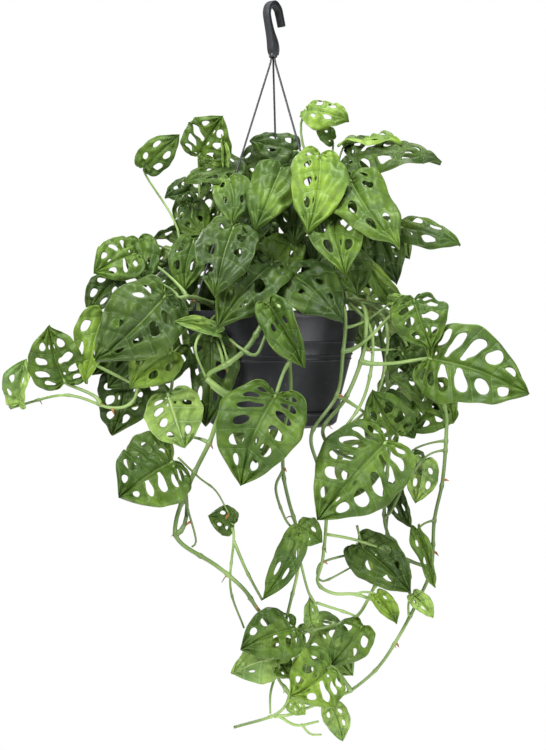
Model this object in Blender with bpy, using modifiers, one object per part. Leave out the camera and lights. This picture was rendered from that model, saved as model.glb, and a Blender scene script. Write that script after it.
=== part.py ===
"""A monstera adansonii that trails from a hanging pot.

The origin is the point where the hook hangs, inside the top of its bend. +Z is up and -Y is the front.
Lengths of the plant and the pot are given in centimetres and become metres where a mesh is made.
A place written as (across, up, near) is where that point is seen from VIEW_DISTANCE in front of the
pot: across and up are measured on the plane through the pot's axis, and near is the distance in
front of that plane.
"""

import math
from collections import namedtuple

import bmesh
import bpy
import numpy as np

CM = 0.01
GAP = 0.03
VIEW_DISTANCE = 200.0
VIEW_HEIGHT = -44.0

# Pot, saucer and soil
RIM_TOP = -44.0
RIM_RADIUS = 13.5
RIM_HEIGHT = 1.0
RIM_STEP = 0.55
WALL = 0.2
WALL_TOP_RADIUS = 12.95
WALL_FOOT_RADIUS = 9.0
POT_FOOT = -60.3
POT_FLOOR = 0.3
RIDGES = (-48.3, -50.2, -50.9)
RIDGE_RISE = 0.12
RIDGE_HEIGHT = 0.25
RIDGE_SLOPE = 0.03
SAUCER_TOP = -58.5
SAUCER_FOOT = -60.7
SAUCER_WALL = 0.2
SAUCER_FLARE = 0.1
SAUCER_CHAMFER = (0.2, 0.4)
SOIL_TOP = -45.4
ROUND_STEPS = 32

# Hanger
ROD_RADIUS = 0.15
ROD_ANGLES = (-65.0, 55.0, 175.0)
ROD_TOP_CIRCLE = 0.3
ROD_FOOT_CIRCLE = 12.4
ROD_STUB = 0.6
LUG_SIZE = (0.9, 1.0, 0.9)
COLLAR_RADIUS = 0.62
COLLAR_TOP = -6.7
COLLAR_FOOT = -7.3
HOOK_THICKNESS = 1.1
HOOK_TURN = 52.0
HOOK_GROOVE = 0.3
HOOK_LIP = 0.13
# Centre line of the hook in its own plane: across, up, half of its depth there
HOOK_LINE = (
    (0.15, -7.0, 0.5),
    (0.1, -6.2, 0.78),
    (-0.1, -5.2, 0.72),
    (-0.6, -3.9, 0.45),
    (-1.1, -2.5, 0.32),
    (-1.42, -1.1, 0.3),
    (-1.02, -0.07, 0.34),
    (0.0, 0.42, 0.42),
    (1.05, -0.1, 0.36),
    (1.5, -1.0, 0.32),
    (2.05, -2.6, 0.3),
)
HOOK_SAMPLES = 3

# Leaves and stems
BLADE_THICKNESS = 0.06
BLADE_STRIPS = 5
BLADE_CELLS = 2
PETIOLE_RADIUS = 0.15
PETIOLE_SAMPLES = 4
STALK_FOOT = 0.15
STALK_IN_BLADE = 0.4
STEM_SAMPLES = 2
STEM_FOOT = 0.9
# Half of the outline of a blade of length 1 and half width 1: along, across, from the notch to the tip
BLADE_EDGE = (
    (0.0, 0.03),
    (-0.09, 0.36),
    (-0.04, 0.72),
    (0.12, 0.95),
    (0.3, 1.0),
    (0.5, 0.86),
    (0.7, 0.57),
    (0.88, 0.2),
    (1.0, 0.0),
)

GREEN = (0.09, 0.2, 0.05)
DARK_GREEN = (0.05, 0.13, 0.04)
LIME = (0.28, 0.46, 0.07)
PALE = (0.33, 0.46, 0.16)
STEM_GREEN = (0.16, 0.28, 0.08)
POT_GREY = (0.03, 0.03, 0.033)
HOOK_GREY = (0.09, 0.09, 0.095)
SOIL_BROWN = (0.035, 0.022, 0.014)

# foot is across and near where the stem leaves the soil, and the points are what it passes through
Stem = namedtuple("Stem", "name radius foot points")
STEMS = (
    Stem("stem_up_left", 0.26, (-4.5, 0.0),
         ((-5.5, -42, 0.5), (-8.5, -38.5, 1), (-11.5, -36, 1.5), (-13.9, -34.6, 2))),
    Stem("stem_up_centre", 0.28, (0.5, -2.0),
         ((0.9, -42, -1.5), (0.9, -38.5, -1), (0.4, -34, -1), (-1.5, -29.5, -2))),
    Stem("stem_up_right", 0.3, (5.0, -2.0),
         ((5.5, -41, -1.5), (7, -36, -1), (8.5, -31, -1), (9.3, -27, -1.5))),
    Stem("stem_left", 0.28, (-7.0, 3.0),
         ((-8.8, -43, 6.5), (-12.6, -42, 9.5), (-15, -43.5, 9.5), (-15.3, -48, 9), (-14.8, -54, 9),
          (-15.2, -56.5, 8.5))),
    Stem("stem_far_left", 0.24, (-8.0, -1.0),
         ((-9.8, -43, 1.5), (-14.6, -42.2, 4), (-18, -47, 6), (-19.6, -53, 7), (-20.5, -57.2, 7.5),
          (-23.8, -58.3, 7.5), (-30.5, -56.4, 6.5), (-38.6, -58.3, 4))),
    Stem("stem_front_left", 0.34, (-1.2, 8.3),
         ((-0.9, -42.8, 11.5), (-0.8, -44.2, 14.8), (-3.4, -49, 15), (-6.5, -51.7, 14.2),
          (-9.5, -53.5, 12.8), (-8.3, -55.6, 12.8), (-6.9, -57, 12.8), (-8.3, -60.4, 12),
          (-9.4, -63.5, 11.5), (-12.1, -69, 11), (-14.3, -75, 10.5), (-13.7, -78.2, 10.5),
          (-8.5, -81.6, 10.5), (-4.5, -85, 10), (-2.4, -88, 10), (-0.5, -90.5, 9.5))),
    Stem("stem_centre", 0.26, (1.2, 8.5),
         ((1.0, -42.8, 11.8), (0.9, -44.4, 14.8), (2.2, -50, 14), (2.6, -56, 12.6), (1.6, -62, 12.2),
          (1.5, -67.7, 12), (2.3, -72, 12), (3.6, -76.8, 12), (3.7, -82, 11.5), (2.6, -87, 10.5),
          (1.8, -90.3, 10))),
    Stem("stem_right_front", 0.26, (7.0, 6.0),
         ((8.2, -42.6, 9), (10.3, -43.6, 12), (10.6, -46.5, 12), (10.3, -50, 11.6),
          (9.4, -56.4, 11.5), (5.7, -62, 12), (6.5, -66.5, 12), (7.8, -70, 12), (7.8, -76, 11.5),
          (7.3, -81, 11), (6.6, -84.2, 11), (8.9, -85.8, 10.5), (12.5, -86, 9.5), (17, -87.8, 9))),
    Stem("stem_right", 0.3, (8.5, 1.5),
         ((10, -42.7, 4), (13.2, -43.4, 7.6), (13.6, -47, 9), (12.9, -51.5, 9.6), (10.6, -57, 10),
          (7.3, -61.6, 9.6), (9.7, -65, 8.8), (14.5, -66.5, 7.5))),
    Stem("stem_far_right", 0.27, (9.0, -3.0),
         ((10.8, -42.6, -2.5), (15.5, -43.4, -0.5), (19.5, -47.5, 2), (23, -53.5, 4), (25.3, -58.5, 5),
          (25.5, -62, 5), (25, -69, 5), (23.8, -75, 5), (23.4, -82, 5.5), (21.4, -87, 6),
          (18.5, -92.5, 6.5), (15.5, -97, 7), (11.5, -100.4, 7.5), (9, -101.3, 8))),
    Stem("stem_centre_right", 0.26, (7.0, -6.0),
         ((9.8, -42.5, -7), (14.3, -43.5, -6.5), (16.5, -52, -2), (17.2, -62, 2), (16.4, -74, 4),
          (17.4, -79.5, 3.3), (14.6, -85.6, 5), (12.2, -89.4, 7), (8, -90.8, 8), (4, -91.9, 8.5),
          (1, -94.5, 9), (0.8, -98.5, 9), (2.4, -101, 9), (0.5, -103.9, 9), (-5.8, -105.9, 8))),
    Stem("stem_back", 0.28, (-2.0, -7.0),
         ((-3, -42.8, -11), (-4.5, -43.5, -15.5), (-4, -50, -16), (-1.5, -56, -15), (0, -59.5, -14))),
)

# face is the way the upper side looks: right, near, up. node is where the stalk leaves its stem,
# counted along the stem's points from 1. arch and fold are in degrees: how far the blade droops
# along its length, and how far it is folded along its midrib.
Leaf = namedtuple("Leaf", "name base tip width face stem node arch fold colour")
LEAVES = (
    Leaf("leaf_top_left_1", (-18.7, -23.1, 2), (-14, -17.6, 4), 7.5, (0.5, 1, 0.1),
         "stem_up_left", 4, 30, 10, GREEN),
    Leaf("leaf_top_left_2", (-10.8, -21.5, 0), (-7.3, -15.7, 3), 8.0, (0, 1, 0.2),
         "stem_up_left", 3.3, 20, 10, GREEN),
    Leaf("leaf_top_left_3", (-6.4, -24.8, 4), (-6, -31.6, 8), 5.8, (0, 1, 0.3),
         "stem_up_left", 2.6, 40, 8, GREEN),
    Leaf("leaf_top_left_4", (-5.8, -31.9, 9), (-8.5, -42.1, 17), 8.3, (0, 1, 0.5),
         "stem_up_left", 2, 30, 8, DARK_GREEN),
    Leaf("leaf_top_1", (1.2, -23.2, 3), (-2.7, -32.4, 9), 7.2, (0, 1, 0.5),
         "stem_up_centre", 4, 40, 8, GREEN),
    Leaf("leaf_top_2", (-4.8, -23.5, -4), (2.8, -21.6, -3), 6, (0, 1, 0.5),
         "stem_up_centre", 3.7, 30, 5, DARK_GREEN),
    Leaf("leaf_top_3", (-0.1, -37.2, 7), (-8.2, -46.6, 17), 8.5, (0, 1, 0.6),
         "stem_up_centre", 1.6, 35, 8, DARK_GREEN),
    Leaf("leaf_top_right_1", (5, -15, -1), (11, -16.6, 0), 6.5, (0, 0.5, 1),
         "stem_up_right", 4, 60, 10, LIME),
    Leaf("leaf_top_right_2", (11.2, -21.6, 0), (24.5, -22.6, 4), 9, (0, 0.7, 0.8),
         "stem_up_right", 3.8, 45, 10, DARK_GREEN),
    Leaf("leaf_top_right_3", (6.9, -21.4, 5), (5.1, -32.7, 12), 8.2, (0, 1, 0.4),
         "stem_up_right", 3.4, 30, 10, LIME),
    Leaf("leaf_top_right_4", (11.3, -25, 5), (18.5, -35, 14), 9, (0.1, 1, 0.4),
         "stem_up_right", 3, 35, 10, GREEN),
    Leaf("leaf_top_right_5", (9.2, -28.2, 5.5), (10.6, -38.9, 14.5), 8.7, (0, 1, 0.4),
         "stem_up_right", 2.5, 35, 10, GREEN),
    Leaf("leaf_top_right_6", (18.6, -31.8, -2), (27.4, -34.5, 2), 6.5, (0, 0.7, 0.7),
         "stem_up_right", 2.2, 30, 10, GREEN),
    Leaf("leaf_top_right_7", (2.2, -38.3, 7.5), (10.2, -45.7, 16), 8.4, (0, 1, 0.5),
         "stem_up_right", 1.3, 30, 8, DARK_GREEN),
    Leaf("leaf_top_right_8", (9.8, -35.9, 7.5), (12.3, -41.9, 9.5), 7.5, (0.1, 1, 0.4),
         "stem_right", 1.3, 30, 8, DARK_GREEN),
    Leaf("leaf_right_1", (20.6, -42.4, 8), (23.2, -49.7, 10), 8.2, (0.1, 1, 0.2),
         "stem_right_front", 4, 35, 8, GREEN),
    Leaf("leaf_right_2", (22.9, -51, 8), (37.6, -56.3, 12), 11.8, (0, 1, 0.3),
         "stem_right", 4, 30, 8, GREEN),
    Leaf("leaf_right_3", (25.3, -57.8, 1.8), (19.9, -62, 3), 7, (0, 1, 0.6),
         "stem_far_right", 3.5, 40, 15, GREEN),
    Leaf("leaf_right_4", (18.4, -62.3, 5.5), (14.6, -55.6, 9.5), 7.5, (0, 1, 0.1),
         "stem_right_front", 5, 30, 10, LIME),
    Leaf("leaf_right_5", (16.6, -63.4, 10.5), (6.5, -74.9, 15), 12.4, (0, 1, 0.3),
         "stem_right", 8, 30, 8, GREEN),
    Leaf("leaf_right_6", (19, -50.2, 5), (21.8, -57.3, 7), 6.8, (0.2, 1, 0.3),
         "stem_right", 3.6, 30, 10, DARK_GREEN),
    Leaf("leaf_front_1", (0.4, -56.4, 16), (-4.8, -69.8, 18), 11.6, (0, 1, 0.1),
         "stem_centre", 3.3, 25, 8, GREEN),
    Leaf("leaf_front_2", (-0.5, -43.3, 15.5), (4.7, -52.4, 17.5), 7, (-0.2, 1, 0),
         "stem_centre", 1.5, 20, 45, GREEN),
    Leaf("leaf_front_3", (-9, -48.2, 10.3), (-9.8, -61, 9.6), 7.5, (-0.4, 1, 0),
         "stem_front_left", 4.2, 25, 10, DARK_GREEN),
    Leaf("leaf_left_1", (-30.6, -54.5, 7), (-32.8, -46.1, 9), 8.4, (0, 1, 0),
         "stem_far_left", 6.3, 15, 12, GREEN),
    Leaf("leaf_left_2", (-20.4, -35.8, 5), (-26.2, -38.6, 7), 7, (0, 1, 0.3),
         "stem_left", 2, 40, 10, GREEN),
    Leaf("leaf_left_3", (-15.8, -41.9, 11), (-26, -51.5, 15), 11.5, (-0.1, 1, 0.4),
         "stem_left", 2.6, 35, 8, DARK_GREEN),
    Leaf("leaf_left_4", (-15, -50.2, 11), (-21, -55.4, 13), 6.5, (0, 1, 0.3),
         "stem_left", 4, 30, 8, LIME),
    Leaf("leaf_left_5", (-21.5, -53.6, 4.5), (-23.6, -62.4, 5.5), 8, (-0.1, 1, 0.2),
         "stem_far_left", 4, 30, 8, DARK_GREEN),
    Leaf("leaf_left_6", (-15.4, -56.4, 11), (-13, -64.2, 13), 8.3, (0, -1, 0.2),
         "stem_left", 6, 20, 8, PALE),
    Leaf("leaf_left_7", (-14.8, -66.2, 10), (-22.7, -71.6, 13), 11.5, (0, 1, 0.4),
         "stem_front_left", 11.6, 40, 12, GREEN),
    Leaf("leaf_low_1", (3.8, -76.9, 13), (-1.5, -86.8, 13), 4.2, (-0.4, 1, 0),
         "stem_centre", 8, 25, 15, GREEN),
    Leaf("leaf_low_2", (12.6, -78.6, 7), (20.4, -85.7, 10), 7.2, (0, 1, 0.3),
         "stem_far_right", 9, 25, 15, DARK_GREEN),
    Leaf("leaf_low_3", (3.2, -91.1, 12), (-4.8, -94.3, 14), 8, (0, 1, 0.7),
         "stem_front_left", 16, 30, 10, DARK_GREEN),
    Leaf("leaf_low_4", (0.1, -95.4, 11), (-6.2, -97.8, 12.5), 6.4, (0, -1, 0.2),
         "stem_centre_right", 11.3, 20, 6, PALE),
    Leaf("leaf_low_5", (5.8, -90.3, 6), (11.9, -98.1, 8), 7.5, (0, 1, 0.2),
         "stem_centre_right", 8.7, 25, 8, PALE),
    Leaf("leaf_low_6", (8.3, -96.8, 12), (2.6, -101.3, 15), 9, (0, 1, 0.2),
         "stem_far_right", 13, 35, 10, LIME),
    Leaf("leaf_low_7", (8.6, -102.6, 9), (10.4, -108, 10), 3.8, (0, 1, 0),
         "stem_far_right", 14, 15, 8, PALE),
    Leaf("leaf_back_1", (-7, -37, -10), (-10, -46, -20), 9.5, (0, -0.7, 0.7),
         "stem_up_left", 1.2, 35, 10, GREEN),
    Leaf("leaf_back_2", (6, -35, -9), (9.5, -46, -20), 10, (0, -0.7, 0.7),
         "stem_up_right", 1, 35, 10, GREEN),
    Leaf("leaf_back_3", (-3.2, -49, -18), (1, -60, -21), 9.5, (0, -1, 0.4),
         "stem_back", 3, 30, 10, DARK_GREEN),
)


def world(place):
    """The place in metres of a point given as it is seen, with how near it is."""
    across, up, near = place
    share = (VIEW_DISTANCE - near) / VIEW_DISTANCE
    return np.array((across * share, -near, VIEW_HEIGHT + (up - VIEW_HEIGHT) * share)) * CM


def unit(vector):
    return vector / np.linalg.norm(vector)


def smooth_line(points, samples):
    """A smooth curve through the points, with this many pieces between one and the next."""
    points = [np.asarray(point, float) for point in points]
    padded = [2 * points[0] - points[1], *points, 2 * points[-1] - points[-2]]
    found = []
    for before, start, end, after in zip(padded, padded[1:], padded[2:], padded[3:]):
        for step in range(samples):
            t = step / samples
            found.append(0.5 * (
                2 * start
                + (end - before) * t
                + (2 * before - 5 * start + 4 * end - after) * t**2
                + (3 * start - before - 3 * end + after) * t**3
            ))
    return [*found, points[-1]]


def stem_line(stem):
    """The stem's middle line: upright out of the soil, then smoothly through its points."""
    across, near = stem.foot
    foot = np.array((across, -near, SOIL_TOP + GAP)) * CM
    above = foot + np.array((0, 0, STEM_FOOT * CM))
    return [foot, *smooth_line([above, *(world(point) for point in stem.points)], STEM_SAMPLES)]


def node_on(stem, node):
    """Where a stalk leaves the stem, and the stem's direction there."""
    line = stem_line(stem)[1:]
    place = min(node * STEM_SAMPLES, len(line) - 1.01)
    start = line[int(place)]
    end = line[int(place) + 1]
    return start + (place % 1) * (end - start), unit(end - start)


def blade_frame(leaf):
    """The leaf's base, the direction to its tip, its right side, its upper side and its length."""
    base = world(leaf.base)
    tip = world(leaf.tip)
    length = np.linalg.norm(tip - base)
    along = (tip - base) / length
    right, near, up = leaf.face
    faces = np.array((right, -near, up))
    upper = unit(faces - faces.dot(along) * along)
    return base, along, np.cross(along, upper), upper, length


def edge_at(share):
    """A point of the half outline, along and across, from the notch (0) to the tip (1)."""
    line = np.array(BLADE_EDGE)
    place = share * (len(line) - 1)
    return tuple(np.interp(place, range(len(line)), line[:, axis]) for axis in (0, 1))


def blade_point(leaf, share, side):
    """A point of the blade: share runs from the notch to the tip, side from -1 to 1 across."""
    base, along, across, upper, length = blade_frame(leaf)
    edge_along, edge_across = edge_at(share)
    reach = abs(side)
    t = share * (1 - reach) + edge_along * reach
    q = edge_across * reach * leaf.width / 2 * CM
    arch = math.radians(leaf.arch)
    radius = length / (2 * math.sin(arch / 2))
    angle = arch * (t - 0.5)
    forward = length / 2 + radius * math.sin(angle)
    height = radius * (math.cos(angle) - math.cos(arch / 2))
    raised = np.cos(angle) * upper + np.sin(angle) * along
    fold = math.radians(leaf.fold)
    place = base + forward * along + height * upper
    return place + math.copysign(q, side) * math.cos(fold) * across + q * math.sin(fold) * raised


def petiole_points(leaf, stems):
    """The leaf stalk, from 0.3 mm off its stem to just inside the base of the blade."""
    base, along, _across, upper, _length = blade_frame(leaf)
    stem = stems[leaf.stem]
    node, stem_way = node_on(stem, leaf.node)
    away = base - node
    away = unit(away - away.dot(stem_way) * stem_way)
    foot = node + away * (stem.radius + GAP) * CM
    reach = np.linalg.norm(base - foot)
    inside = base + along * STALK_IN_BLADE * CM
    first = foot + away * 0.3 * reach
    second = base - along * 0.2 * reach - upper * 0.25 * reach
    found = [foot]
    foot = foot + away * STALK_FOOT * CM
    for step in range(PETIOLE_SAMPLES):
        t = step / PETIOLE_SAMPLES
        found.append(
            (1 - t) ** 3 * foot + 3 * (1 - t) ** 2 * t * first
            + 3 * (1 - t) * t**2 * second + t**3 * base
        )
    return [*found, base, inside]


def rod_points(angle):
    """A hanger rod: a short upright end under the hook, a straight run and an upright end at the rim."""
    turn = math.radians(angle)
    out = np.array((math.sin(turn), -math.cos(turn), 0))
    head = out * ROD_TOP_CIRCLE + np.array((0, 0, COLLAR_FOOT - GAP))
    foot = out * ROD_FOOT_CIRCLE + np.array((0, 0, RIM_TOP + GAP))
    drop = np.array((0, 0, ROD_STUB))
    return [head * CM, (head - drop) * CM, (foot + drop) * CM, foot * CM]


def clear_scene():
    for obj in list(bpy.data.objects):
        bpy.data.objects.remove(obj)


def new_collection(name):
    found = bpy.data.collections.new(name)
    bpy.context.scene.collection.children.link(found)
    return found


def material(name, colour, roughness, metallic=0.0):
    found = bpy.data.materials.get(name)
    if found is None:
        found = bpy.data.materials.new(name)
        found.use_nodes = True
        shader = found.node_tree.nodes["Principled BSDF"]
        shader.inputs["Base Color"].default_value = (*colour, 1)
        shader.inputs["Roughness"].default_value = roughness
        shader.inputs["Metallic"].default_value = metallic
    return found


def place_mesh(name, mesh, surface, collection):
    found = bpy.data.objects.new(name, mesh)
    collection.objects.link(found)
    if surface is not None:
        mesh.materials.append(surface)
    return found


def tube_curve(name, points, radius, sides_step):
    """A tube as a curve through the points, with filled ends. Radius is in centimetres."""
    curve = bpy.data.curves.new(name, "CURVE")
    curve.dimensions = "3D"
    curve.bevel_depth = radius * CM
    curve.bevel_resolution = sides_step
    curve.use_fill_caps = True
    spline = curve.splines.new("POLY")
    spline.points.add(len(points) - 1)
    for control, point in zip(spline.points, points):
        control.co = (*point, 1)
    return bpy.data.objects.new(name, curve)


def curve_as_mesh(curve_object):
    """The curve's mesh with its caps welded to its sides. The curve object is removed."""
    bpy.context.scene.collection.objects.link(curve_object)
    graph = bpy.context.evaluated_depsgraph_get()
    mesh = bpy.data.meshes.new_from_object(curve_object.evaluated_get(graph))
    bpy.data.objects.remove(curve_object)
    bm = bmesh.new()
    bm.from_mesh(mesh)
    bmesh.ops.remove_doubles(bm, verts=bm.verts, dist=1e-6)
    bmesh.ops.recalc_face_normals(bm, faces=bm.faces)
    bm.to_mesh(mesh)
    bm.free()
    return mesh


def as_cutter(found):
    found.hide_render = True
    found.display_type = "WIRE"
    return found


def boolean(target, other, operation, solver="EXACT"):
    modifier = target.modifiers.new(other.name, "BOOLEAN")
    modifier.operation = operation
    modifier.solver = solver
    modifier.object = other


def turned(name, profile, surface, collection):
    """A solid turned about the Z axis. The profile is a closed ring of (radius, height)."""
    bm = bmesh.new()
    verts = [bm.verts.new((radius * CM, 0, height * CM)) for radius, height in profile]
    for start, end in zip(verts, verts[1:]):
        bm.edges.new((start, end))
    if profile[0][0] > 0:
        bm.edges.new((verts[-1], verts[0]))
    mesh = bpy.data.meshes.new(name)
    bm.to_mesh(mesh)
    bm.free()
    found = place_mesh(name, mesh, surface, collection)
    screw = found.modifiers.new("Turn", "SCREW")
    screw.steps = ROUND_STEPS
    screw.render_steps = ROUND_STEPS
    screw.use_merge_vertices = True
    screw.merge_threshold = 0.0001
    return found


def wall_radius(height):
    """The pot's outer radius under its rim."""
    share = (RIM_TOP - RIM_HEIGHT - height) / (RIM_TOP - RIM_HEIGHT - POT_FOOT)
    return WALL_TOP_RADIUS + (WALL_FOOT_RADIUS - WALL_TOP_RADIUS) * share


def make_pot(collection, cutters):
    plastic = material("pot_plastic", POT_GREY, 0.45)
    shoulder = RIM_TOP - RIM_HEIGHT
    floor = POT_FOOT + POT_FLOOR
    inner_top = RIM_RADIUS - RIM_STEP - WALL
    profile = [(0, floor), (wall_radius(floor) - WALL, floor)]
    profile += [(inner_top, shoulder), (inner_top, RIM_TOP)]
    profile += [(RIM_RADIUS, RIM_TOP), (RIM_RADIUS, shoulder), (WALL_TOP_RADIUS, shoulder)]
    for height in RIDGES:
        profile += [
            (wall_radius(height), height),
            (wall_radius(height) + RIDGE_RISE, height - RIDGE_SLOPE),
            (wall_radius(height - RIDGE_HEIGHT) + RIDGE_RISE, height - RIDGE_HEIGHT + RIDGE_SLOPE),
            (wall_radius(height - RIDGE_HEIGHT), height - RIDGE_HEIGHT),
        ]
    profile += [(wall_radius(POT_FOOT), POT_FOOT), (0, POT_FOOT)]
    pot = turned("pot", profile, plastic, collection)
    for number, angle in enumerate(ROD_ANGLES, 1):
        turn = math.radians(angle)
        bpy.ops.mesh.primitive_cube_add(size=1)
        lug = bpy.context.object
        lug.name = f"rim_lug_{number}"
        lug.scale = [side * CM for side in LUG_SIZE]
        lug.rotation_euler.z = turn
        lug.location = (
            math.sin(turn) * ROD_FOOT_CIRCLE * CM,
            -math.cos(turn) * ROD_FOOT_CIRCLE * CM,
            (RIM_TOP - LUG_SIZE[2] / 2) * CM,
        )
        for owner in list(lug.users_collection):
            owner.objects.unlink(lug)
        cutters.objects.link(as_cutter(lug))
        boolean(pot, lug, "UNION")


def make_saucer(collection):
    plastic = material("saucer_plastic", POT_GREY, 0.45)
    top = wall_radius(SAUCER_TOP) + GAP
    foot = wall_radius(POT_FOOT) + GAP
    floor = POT_FOOT - GAP
    profile = [
        (0, floor),
        (foot, floor),
        (top, SAUCER_TOP),
        (top + SAUCER_WALL, SAUCER_TOP),
        (foot + SAUCER_WALL + SAUCER_FLARE, SAUCER_FOOT + SAUCER_CHAMFER[1]),
        (foot - SAUCER_CHAMFER[0], SAUCER_FOOT),
        (0, SAUCER_FOOT),
    ]
    turned("saucer", profile, plastic, collection)


def make_soil(collection):
    earth = material("soil", SOIL_BROWN, 0.95)
    floor = POT_FOOT + POT_FLOOR
    inner_foot = wall_radius(floor) - WALL
    inner_top = RIM_RADIUS - RIM_STEP - WALL
    slope = (inner_top - inner_foot) / (RIM_TOP - RIM_HEIGHT - floor)
    top = inner_foot + slope * (SOIL_TOP - floor) - 2 * GAP
    profile = [
        (0, SOIL_TOP),
        (top, SOIL_TOP),
        (inner_foot - GAP, floor + GAP),
        (0, floor + GAP),
    ]
    turned("soil", profile, earth, collection)


def hook_outline(shrink):
    """The hook's outline in its own plane, drawn in by shrink all round."""
    line = smooth_line(HOOK_LINE, HOOK_SAMPLES)
    left, right = [], []
    for index, point in enumerate(line):
        before = line[max(index - 1, 0)]
        after = line[min(index + 1, len(line) - 1)]
        way = unit((after - before)[:2])
        side = np.array((-way[1], way[0]))
        depth = point[2] - shrink
        left.append(point[:2] + side * depth)
        right.append(point[:2] - side * depth)
    if shrink:
        left, right = left[1:-1], right[1:-1]
    return left + right[::-1]


def hook_plate(name, outline, thickness, shift):
    """The outline as a flat plate in the hook's plane, moved by shift across that plane."""
    curve = bpy.data.curves.new(name, "CURVE")
    curve.dimensions = "2D"
    curve.fill_mode = "BOTH"
    curve.extrude = thickness / 2 * CM
    spline = curve.splines.new("POLY")
    spline.points.add(len(outline) - 1)
    for control, (across, up) in zip(spline.points, outline):
        control.co = (across * CM, up * CM, 0, 1)
    spline.use_cyclic_u = True
    mesh = curve_as_mesh(bpy.data.objects.new(name, curve))
    found = bpy.data.objects.new(name, mesh)
    turn = math.radians(HOOK_TURN)
    found.rotation_euler = (math.pi / 2, 0, turn)
    found.location = (math.sin(turn) * shift * CM, -math.cos(turn) * shift * CM, 0)
    return found


def make_hook(collection, cutters):
    plastic = material("hook_plastic", HOOK_GREY, 0.4)
    hook = hook_plate("hanger_hook", hook_outline(0), HOOK_THICKNESS, 0)
    hook.data.materials.append(plastic)
    collection.objects.link(hook)
    for number, side in enumerate((-1, 1), 1):
        groove = hook_plate(f"hook_groove_{number}", hook_outline(HOOK_LIP), HOOK_GROOVE * 2,
                            side * HOOK_THICKNESS / 2)
        cutters.objects.link(as_cutter(groove))
        boolean(hook, groove, "DIFFERENCE", "MANIFOLD")
    bpy.ops.mesh.primitive_cylinder_add(
        vertices=ROUND_STEPS // 2,
        radius=COLLAR_RADIUS * CM,
        depth=(COLLAR_TOP - COLLAR_FOOT) * CM,
        location=(0, 0, (COLLAR_TOP + COLLAR_FOOT) / 2 * CM),
    )
    collar = bpy.context.object
    collar.name = "hook_collar"
    for owner in list(collar.users_collection):
        owner.objects.unlink(collar)
    cutters.objects.link(as_cutter(collar))
    boolean(hook, collar, "UNION", "MANIFOLD")


def make_rods(collection):
    plastic = material("rod_plastic", HOOK_GREY, 0.4)
    for number, angle in enumerate(ROD_ANGLES, 1):
        name = f"hanger_rod_{number}"
        mesh = curve_as_mesh(tube_curve(name, rod_points(angle), ROD_RADIUS, 2))
        place_mesh(name, mesh, plastic, collection)


def make_stems(collection):
    green = material("stem_skin", STEM_GREEN, 0.5)
    for stem in STEMS:
        mesh = curve_as_mesh(tube_curve(stem.name, stem_line(stem), stem.radius, 1))
        mesh.shade_smooth()
        place_mesh(stem.name, mesh, green, collection)


def make_leaf(leaf, stems, collection, cutters):
    """A blade as a bent sheet with a wall, joined with its stalk in one body."""
    bm = bmesh.new()
    bmesh.ops.create_grid(bm, x_segments=BLADE_STRIPS, y_segments=2 * BLADE_CELLS, size=0.5)
    for vert in bm.verts:
        vert.co = blade_point(leaf, vert.co.x + 0.5, 2 * vert.co.y)
    bmesh.ops.remove_doubles(bm, verts=bm.verts, dist=1e-5)
    bmesh.ops.recalc_face_normals(bm, faces=bm.faces)
    mesh = bpy.data.meshes.new(leaf.name)
    bm.to_mesh(mesh)
    bm.free()
    blade = place_mesh(leaf.name, mesh, material(leaf.name, leaf.colour, 0.45), collection)
    wall = blade.modifiers.new("Wall", "SOLIDIFY")
    wall.thickness = BLADE_THICKNESS * CM
    wall.offset = 0
    stalk_name = f"stalk_of_{leaf.name}"
    stalk_mesh = curve_as_mesh(
        tube_curve(stalk_name, petiole_points(leaf, stems), PETIOLE_RADIUS, 1)
    )
    stalk = as_cutter(place_mesh(stalk_name, stalk_mesh, None, cutters))
    boolean(blade, stalk, "UNION")


def main():
    clear_scene()
    plant = new_collection("Monstera adansonii in a hanging pot")
    cutters = new_collection("Cutters")
    stems = {stem.name: stem for stem in STEMS}
    make_pot(plant, cutters)
    make_saucer(plant)
    make_soil(plant)
    make_hook(plant, cutters)
    make_rods(plant)
    make_stems(plant)
    for leaf in LEAVES:
        make_leaf(leaf, stems, plant, cutters)


if __name__ == "__main__":
    main()
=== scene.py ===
"""The looks of a monstera adansonii in its hanging pot: leaves with holes, stems, soil, pot and hanger.

A place written as (across, up, near) is in centimetres, as it is seen from VIEW_DISTANCE in front of
the pot: across and up are measured on the plane through the pot's axis, and near is the distance in
front of that plane. The origin is where the hook hangs, +Z is up and -Y is the front.
"""

import math
import random
from collections import namedtuple

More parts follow.
